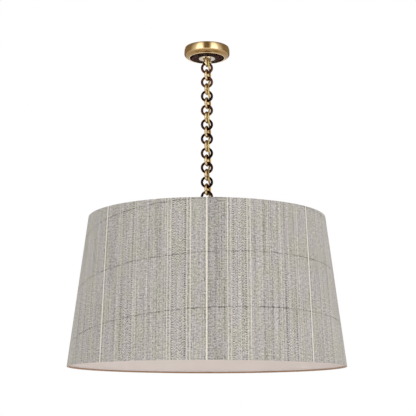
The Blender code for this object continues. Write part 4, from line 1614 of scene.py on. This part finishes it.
@dataclass
class Shade(Assembly):
    """The tapered drum: cloth, lining film and the two wires in its edges."""

    body: str = "lamp"
    sides: int = 288
    rows: int = 40
    lap: float = 0.0006
    lap_width: float = 0.0130

    def cover(self) -> bpy.types.Object:
        """The cloth: its face, its turned edges and its back, each point with its place on the flat cut.

        The outline runs up the face at the taper's radius, over the top edge, down the back one cloth inside it
        and under the bottom edge. Both edges are half circles of half the cloth's thickness. At the seam behind, the
        cloth laps over itself: within half the lap's width of the back line the face stands out by the lap's height.

        Returns:
            The piece.
        """
        s = SHADE
        half = s.cloth / 2
        z = np.linspace(s.bottom + half, s.top - half, self.rows)
        radius = s.radius(z)
        up = np.linspace(0, math.pi, 7)[1:-1]
        top = np.c_[radius[-1] - half + half * np.cos(up), z[-1] + half * np.sin(up)]
        low = np.c_[radius[0] - half - half * np.cos(up), z[0] - half * np.sin(up)]
        outline = np.vstack([np.c_[radius, z], top, np.c_[radius - s.cloth, z][::-1], low])
        seam = self.lap_width / 2 / s.bottom_radius
        steps = math.pi - seam * np.array((1.0, 1.08))
        spread = np.sort(np.concatenate([np.linspace(-math.pi, math.pi, self.sides + 1), steps, -steps]))
        side = s.radius(np.append(outline[:, 1], outline[0, 1]))[:, None]
        uv = s.flat(np.repeat(side, len(spread), 1), np.repeat(spread[None], len(side), 0))
        bearing = spread[:-1] - math.pi / 2
        lifted = self.lap * (math.pi - np.abs(spread[:-1]) < seam * 1.01)
        outside = outline[:, :1] > s.radius(outline[:, 1:]) - half
        radius = outline[:, :1] + lifted * outside
        height = np.repeat(outline[:, 1:], len(bearing), 1)
        points = np.stack([radius * np.cos(bearing), radius * np.sin(bearing), height], -1)
        skin = Skin("shade_cloth").grid(points, wrap_rows=True, uv=uv)
        return self.finish(skin.build(60), "cloth", Slot.CLOTH, "shade_cover")

    def film(self) -> None:
        """The pale lining behind the cloth, set in from both edges to leave room for the wires."""
        s = SHADE
        room = 2 * (s.wire + GAP)
        z = np.linspace(s.bottom + room, s.top - room, 24)
        radius = s.radius(z) - s.cloth - GAP
        outline = np.vstack([np.c_[radius, z], np.c_[radius - s.film, z][::-1]])
        self.turned("shade_film", outline, "lining", Slot.LINING, "shade_lining", 240, ringed=True)

    def wires(self) -> None:
        """The wires inside the two edges."""
        s = SHADE
        for name, z in (("top_wire", s.top - s.wire - GAP), ("bottom_wire", s.bottom + s.wire + GAP)):
            radius = s.radius(z) - s.cloth - GAP - s.wire
            points = ring(Vector((0, 0, z)), radius, s.wire, Vector((1, 0, 0)), Vector((0, 1, 0)), 240, 16)
            item = Skin(f"shade_{name}").grid(points, wrap_rows=True).build()
            self.finish(item, "hem", Slot.HEM, name)

    def build(self) -> None:
        """Builds the shade: its cloth cover, its lining film and its wires.

        The cut is a sector of a ring. Its width is the chord of the outer arc, its length runs from the ends of the
        inner arc to the outer arc's middle, and its area is that of the cone's side.
        """
        cloth = self.cover()
        self.film()
        self.wires()


@dataclass
class LampFrame(Assembly):
    """Bottom loop, stem, spider hub and rods."""

    body: str = "lamp"
    hub_radius: float = 0.0200
    hub_top: float = -0.5217
    hub_low: float = -0.5267
    neck_radius: float = 0.0056
    neck_top: float = -0.49195
    collar_radius: float = 0.0085
    groove_radius: float = 0.0078
    stem_radius: float = 0.0050
    stem_bore: float = 0.0038
    stem_low: float = -0.6284
    stem_nut: NutSize = NutSize(0.0140, 0.0053, 0.0040)
    rod_radius: float = 0.0021
    rod_bend: float = 0.82

    def loop(self) -> None:
        """The ring that the last link holds, with its neck and collar in one casting."""
        middle = Vector((0, 0, CHAIN.height(CHAIN.links + 1)))
        points = ring(middle, CHAIN.radius, CHAIN.wire, Vector((1, 0, 0)), Vector(UP), 96, 28)
        low, top = self.hub_top + GAP, self.hub_top + 0.0113
        collar = [
            (0, low),
            (self.collar_radius, low),
            (self.collar_radius, low + 0.0035),
            (self.groove_radius, low + 0.0041),
            (self.groove_radius, low + 0.0069),
            (self.collar_radius, low + 0.0075),
            (self.collar_radius, top),
            (self.neck_radius, top + 0.0004),
            (self.neck_radius, self.neck_top),
            (0, self.neck_top),
        ]
        skin = Skin("loop_casting").grid(points, wrap_rows=True).grid(turn(soften(collar, 0.0007), 72))
        self.finish(skin.build(), "brass", Slot.BRASS, "bottom_loop")

    def stem(self) -> None:
        """The stem with its nut under the hub."""
        tube = sleeve(self.stem_bore, self.stem_radius, self.stem_low, self.hub_top + 0.008, 0.0003)
        self.turned("stem_pipe", tube, "brass", Slot.BRASS, "stem_tube", 64, ringed=True)
        self.nut("stem_lock_nut", self.stem_nut, self.hub_low - GAP - self.stem_nut.height, AXIS, "stem_nut")

    def spider(self) -> None:
        """The hub with softened edges, and three rods that run out level and climb to the top wire.

        From the bend at its share of the length, a rod climbs by h t t (3 - 2t), where t runs from 0 to 1 to the
        wire and h is the whole climb.
        """
        low, high = self.hub_low, self.hub_top
        self.turned("hub_disc", slug(self.hub_radius, low, high, 0.0009), "brass", Slot.BRASS, "spider_hub", 96)
        s = SHADE
        z0, z1 = (low + high) / 2, s.top - s.wire - GAP
        start = self.hub_radius + GAP
        end = s.radius(z1) - s.cloth - 2 * (GAP + s.wire)
        bend = start + (end - start) * self.rod_bend
        t = np.linspace(0, 1, 25)
        climb = np.c_[bend + (end - bend) * t, z0 + (z1 - z0) * t * t * (3 - 2 * t)]
        flat = np.vstack([[(start, z0), ((start + bend) / 2, z0)], climb])
        for number in range(3):
            angle = math.radians(90 + 120 * number)
            path = upright(flat, np.array((math.cos(angle), math.sin(angle), 0.0)))
            rod = sweep(*capped(path, self.rod_radius), 20, (-math.sin(angle), math.cos(angle), 0.0))
            item = Skin(f"spider_arm_{number + 1}").grid(rod).build()
            self.finish(item, "brass", Slot.BRASS, f"spider_rod_{number + 1}")

    def build(self) -> None:
        """Builds the frame."""
        self.loop()
        self.stem()
        self.spider()


@dataclass
class Cluster(Assembly):
    """The cluster under the spider with its cap, finial, arms, sockets and bulbs."""

    body: str = "lamp"
    top: float = -0.6167
    radius: float = 0.0240
    height: float = 0.0380
    chamfer: float = 0.0050
    cap_depth: float = 0.0080
    knob_radius: float = 0.0070
    knob_neck: float = 0.0032
    gland_wall: float = 0.0008
    gland_height: float = 0.0072
    reach: float = 0.0750
    arm_radius: float = 0.0050
    elbow: float = 0.0150
    socket_length: float = 0.0560
    socket_radius: float = 0.0185
    socket_bore: float = 0.0133
    bulb_sunk: float = 0.0240
    bulb_length: float = 0.1080
    bulb_radius: float = 0.0300
    bulb_neck: float = 0.0140

    def drum(self) -> None:
        """The body and its domed cap."""
        low, rim, edge = self.top - self.height, self.radius, self.chamfer
        body = [(0, low), (rim, low), (rim, self.top - edge), (rim - edge, self.top), (0, self.top)]
        self.turned("cluster_drum", soften(body, 0.0030, 6), "spun_brass", Slot.BRASS, "cluster_body", 96)
        a = np.linspace(-math.pi / 2, 0, 20)
        dome = np.c_[rim * np.cos(a), low - GAP + self.cap_depth * np.sin(a)]
        dome[0, 0] = 0
        dome = np.vstack([dome, [(0, low - GAP)]])
        self.turned("cluster_dome", dome, "spun_brass", Slot.BRASS, "cluster_cap", 96)

    def finial(self) -> None:
        """The ball under the cap, with its collared neck."""
        top = self.top - self.height - self.cap_depth - 2 * GAP
        size, neck = self.knob_radius, self.knob_neck
        ball = top - 0.004 - size
        a = np.linspace(-math.pi / 2, math.acos(neck / size), 26)
        knob = np.c_[size * np.cos(a), ball + size * np.sin(a)]
        knob[0, 0] = 0
        collar = [
            tuple(knob[-1]),
            (neck, ball + 0.0066),
            (0.0052, ball + 0.0075),
            (0.0052, ball + 0.0088),
            (0.0034, ball + 0.0094),
            (0.0034, top),
            (0, top),
        ]
        outline = np.vstack([knob[:-1], soften(collar, 0.0005)])
        self.turned("finial_knob", outline, "brass", Slot.BRASS, "finial", 64)

    def gland(self) -> None:
        """The gland on top, which the cord enters."""
        x, y = CHAIN.cord_point(CHAIN.links + 2)[:2]
        hole, foot = CHAIN.cord + GAP, self.top + GAP
        grip = sleeve(hole, hole + self.gland_wall, foot, foot + self.gland_height, 0.0003)
        self.turned("cord_grip", grip, "rubber", Slot.RUBBER, "cord_gland", 40, (x, y), True)

    def socket(self, label: int, top: float, middle: Plan) -> None:
        """One socket: a sloping shoulder, a straight skirt with a groove, and the hole for the bulb.

        Args:
            label: Its number in the piece's name.
            top: Height of its upper end.
            middle: Where its axis stands in plan.
        """
        rim, bore, mouth = self.socket_radius, self.socket_bore, top - self.socket_length
        floor = mouth + self.bulb_sunk + GAP
        cup = [
            (0, top),
            (0.0080, top),
            (0.0150, top - 0.0075),
            (rim, top - 0.0120),
            (rim, mouth + 0.020),
            (rim - 0.0006, mouth + 0.0195),
            (rim - 0.0006, mouth + 0.0165),
            (rim, mouth + 0.016),
            (rim, mouth),
            (bore, mouth),
            (bore, floor),
            (0, floor),
        ]
        name, node = f"socket_shell_{label}", f"socket_{label}"
        self.turned(name, soften(cup, 0.0008), "socket", Slot.SOCKET, node, 72, middle)

    def bulb(self, label: int, mouth: float, middle: Plan) -> None:
        """One bulb: its cap inside the socket, a curve down from the neck, and a ball.

        Args:
            label: Its number in the piece's name.
            mouth: Height of the socket's mouth.
            middle: Where its axis stands in plan.
        """
        neck, size = self.bulb_neck, self.bulb_radius
        top, neck_z = mouth + self.bulb_sunk, mouth - GAP
        ball = top - self.bulb_length + size
        a = np.linspace(math.pi / 2 - math.asin(neck / size), -math.pi / 2, 30)
        globe = np.c_[size * np.cos(a), ball + size * np.sin(a)]
        globe[-1, 0] = 0
        t = np.linspace(0, 1, 12)[1:-1, None]
        shoulder = curve(np.array([neck, neck_z]), np.array([neck, globe[0, 1] + 0.006]), globe[0], t)
        base = [(0, top), (0.0125, top), (0.0130, top - 0.001), (0.0130, neck_z), (neck, neck_z)]
        outline = np.vstack([base, shoulder, globe])
        self.turned(f"opal_bulb_{label}", outline, "glass", Slot.BULB, f"bulb_{label}", 72, middle)

    def light(self, label: int) -> None:
        """One arm with its socket and bulb.

        Args:
            label: Which of the three, from 1.
        """
        angle = math.radians(120 * label - 90)
        out = np.array((math.cos(angle), math.sin(angle), 0.0))
        z, bend = self.top - self.height / 2, self.elbow
        a = np.linspace(math.pi / 2, 0, 20)
        elbow = np.c_[self.reach - bend + bend * np.cos(a), z - bend + bend * np.sin(a)]
        foot = z - bend - 0.0040
        flat = np.vstack([[(self.radius + GAP, z), (self.radius + 0.012, z)], elbow, [(self.reach, foot)]])
        path, side = upright(flat, out), (-math.sin(angle), math.cos(angle), 0.0)
        item = Skin(f"lamp_arm_{label}").grid(sweep(*capped(path, self.arm_radius), 28, side)).build()
        self.finish(item, "brass", Slot.BRASS, f"socket_arm_{label}")
        middle = (self.reach * out[0], self.reach * out[1])
        self.socket(label, foot - GAP, middle)
        self.bulb(label, foot - GAP - self.socket_length, middle)

    def build(self) -> None:
        """Builds the cluster."""
        self.drum()
        self.finial()
        self.gland()
        for label in (1, 2, 3):
            self.light(label)


# Floor, light and camera


@dataclass(frozen=True)
class Softbox:
    """One soft rectangular lamp, which no camera and no shiny surface sees."""

    name: str
    spot: Triple
    aim: Triple
    size: tuple[float, float]
    power: float

    def build(self) -> None:
        """Sets the lamp up."""
        data = bpy.data.lights.new(self.name, "AREA")
        data.shape = "RECTANGLE"
        data.size, data.size_y = self.size
        data.energy = self.power
        item = bpy.data.objects.new(self.name, data)
        item.location = self.spot
        item.rotation_euler = (Vector(self.aim) - Vector(self.spot)).to_track_quat("-Z", "Y").to_euler()
        item.visible_camera = item.visible_glossy = False
        bpy.context.scene.collection.objects.link(item)


@dataclass(frozen=True)
class Studio:
    """A pale floor, soft lamps and the camera at the photograph's angle."""

    distance: float = 3.169
    camera_height: float = -1.0637
    camera_x: float = 0.0030
    pitch: float = 10.64
    lens: float = 99.48
    sensor: float = 36.0
    floor: float = -2.2
    floor_half: float = 12.0
    floor_lift: float = 0.35
    ambient: float = 0.50
    side_fill: float = 0.42
    right_fill: float = 0.09
    room_low: float = 0.19
    room_high: float = 0.17
    room_tint: Colour = (1.0, 0.65, 0.28)
    glow: Colour = (1.20, 0.98, 0.70)
    box_level: float = 2.30
    lamps: tuple[Softbox, ...] = (
        Softbox("left_softbox", (-2.35, -2.40, 1.05), (0.0, 0.0, -0.1), (2.0, 2.4), 28.0),
        Softbox("right_softbox", (2.35, -2.40, 1.05), (0.0, 0.0, -0.1), (2.0, 2.4), 33.0),
        Softbox("low_card", (0.0, -1.5, -2.1), (0.0, 0.2, -0.8), (2.2, 1.0), 8.0),
    )

    def boxes(self, g: Graph, bearing: Value, up: Value) -> Value:
        """The soft lights that metal sees to both sides of a dark gap in front, which widens upwards.

        Each fades in from the gap, fades out in two steps round the sides, and ends above and below.

        Args:
            g: The world's graph.
            bearing: Angle from straight in front, in radians.
            up: The direction's upward part.

        Returns:
            Their level.
        """
        gap = g.math("MULTIPLY", bearing, g.math("MULTIPLY_ADD", up, -0.2, 1.03))
        box = g.math("SUBTRACT", g.ramp(gap, 0.20, 0.50, 0.0, 1.0), g.ramp(bearing, 0.75, 1.15, 0.0, 0.75))
        box = g.math("SUBTRACT", box, g.ramp(bearing, 1.15, 1.65, 0.0, 0.22))
        for low, high, start, end in ((-0.36, -0.12, 0.0, 1.0), (0.26, 0.52, 1.0, 0.64), (0.60, 0.85, 1.0, 0.15)):
            box = g.math("MULTIPLY", box, g.ramp(up, low, high, start, end))
        return g.math("MULTIPLY", box, self.box_level)

    def warmth(self, g: Graph, bearing: Value, up: Value) -> Value:
        """The warm glow that metal sees straight in front and below.

        Args:
            g: The world's graph.
            bearing: Angle from straight in front, in radians.
            up: The direction's upward part.

        Returns:
            Its colour.
        """
        warm = g.math("MULTIPLY", g.ramp(up, -0.80, -0.50, 0.0, 1.0), g.ramp(up, -0.20, 0.0, 1.0, 0.0))
        warm = g.math("MULTIPLY", warm, g.ramp(bearing, 0.26, 0.60, 1.0, 0.0))
        return g.mix(1.0, warm, rgba(self.glow), "MULTIPLY")

    def world(self) -> None:
        """Soft light all round. Metal and glass see a white backdrop, a dim warm room, soft lights and a glow."""
        world = bpy.data.worlds.new("studio")
        bpy.context.scene.world = world
        world.use_nodes = True
        world.node_tree.nodes.clear()
        g = Graph(world.node_tree)
        path = g.add("LightPath").outputs
        right, away, up = g.split(g.add("TexCoord").outputs["Generated"])
        bearing = g.math("ABSOLUTE", g.math("ARCTAN2", right, g.math("MULTIPLY", away, -1.0)))
        backdrop = g.ramp(away, 0.94, 0.99, 0.0, 1.0)
        room = g.ramp(up, -0.2, 0.9, self.room_low, self.room_high)
        glossy = g.mix(1.0, room, rgba(self.room_tint), "MULTIPLY")
        glossy = g.mix(1.0, glossy, g.math("ADD", self.boxes(g, bearing, up), backdrop), "ADD")
        glossy = g.mix(1.0, glossy, self.warmth(g, bearing, up), "ADD")
        soft = g.math("MULTIPLY_ADD", g.math("ABSOLUTE", right), self.side_fill, self.ambient)
        soft = g.math("MULTIPLY_ADD", right, self.right_fill, soft)
        level = g.mix(path["Is Glossy Ray"], soft, glossy)
        direct = g.math("MAXIMUM", path["Is Camera Ray"], path["Is Transmission Ray"])
        background = g.add("Background")
        g.feed(background.inputs["Color"], g.mix(direct, level, rgba((1.0, 1.0, 1.0))))
        g.feed(g.add("OutputWorld").inputs["Surface"], background.outputs[0])

    def ground(self, palette: Palette) -> None:
        """A wide pale floor under the lamp that keeps its shadow, and that a camera below it looks through.

        Args:
            palette: Whose shared groups its material uses.
        """
        half = self.floor_half
        corners = ((-half, -half), (half, -half), (half, half), (-half, half))
        mesh = bpy.data.meshes.new("floor")
        mesh.from_pydata([(x, y, self.floor) for x, y in corners], [], [(0, 1, 2, 3)])
        item = bpy.data.objects.new("floor", mesh)
        bpy.context.scene.collection.objects.link(item)
        material, g, shader = new_material("pale_floor")
        place = g.add("TexCoord").outputs["Object"]
        cloud = palette.effects.patina.use(g, Vector=place, Broad=1.5, Fine=60.0)
        path = g.add("LightPath").outputs
        seen = g.math("MAXIMUM", path["Is Camera Ray"], path["Is Transmission Ray"])
        seen = g.math("MAXIMUM", path["Is Glossy Ray"], seen)
        values = {
            "Base Color": g.mix(cloud["Mask"], rgba((0.90, 0.90, 0.90)), rgba((0.88, 0.88, 0.87))),
            "Roughness": 0.8,
            "Emission Color": rgba((1.0, 1.0, 1.0)),
            "Emission Strength": g.math("MULTIPLY", seen, self.floor_lift),
        }
        g.fill(shader, values)
        below = g.math("MULTIPLY", g.add("NewGeometry").outputs["Backfacing"], path["Is Camera Ray"])
        cut = g.add("MixShader")
        for socket, value in zip(cut.inputs, (below, shader.outputs[0], g.add("BsdfTransparent").outputs[0])):
            g.feed(socket, value)
        g.feed(material.node_tree.nodes["Material Output"].inputs["Surface"], cut.outputs[0])
        mesh.materials.append(material)

    def camera(self) -> None:
        """The camera: in front of the lamp and a little below the shade, tipped up by the pitch."""
        data = bpy.data.cameras.new("camera")
        data.lens, data.sensor_width = self.lens, self.sensor
        item = bpy.data.objects.new("camera", data)
        item.location = (self.camera_x, -self.distance, self.camera_height)
        item.rotation_euler = (math.radians(90 + self.pitch), 0, 0)
        bpy.context.scene.collection.objects.link(item)
        bpy.context.scene.camera = item

    def build(self, palette: Palette) -> None:
        """Sets up the stage.

        Args:
            palette: Whose shared groups the floor uses.
        """
        bpy.context.scene.view_settings.view_transform = "Standard"
        self.world()
        self.ground(palette)
        for lamp in self.lamps:
            lamp.build()
        self.camera()


def write_sizes() -> None:
    """Updates the view layer.
    """
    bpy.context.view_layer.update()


def main() -> None:
    """Builds every sub-assembly in order and reports its pieces."""
    logging.basicConfig(level=logging.INFO, format="%(name)s: %(message)s")
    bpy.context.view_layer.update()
    palette = Palette()
    for kind in (Canopy, Chain, LampCord, Shade, LampFrame, Cluster):
        assembly = kind(palette)
        assembly.build()
        log.info("%s: %s", kind.__name__, ", ".join(assembly.made))
    Studio().build(palette)
    write_sizes()


if __name__ == "__main__":
    main()
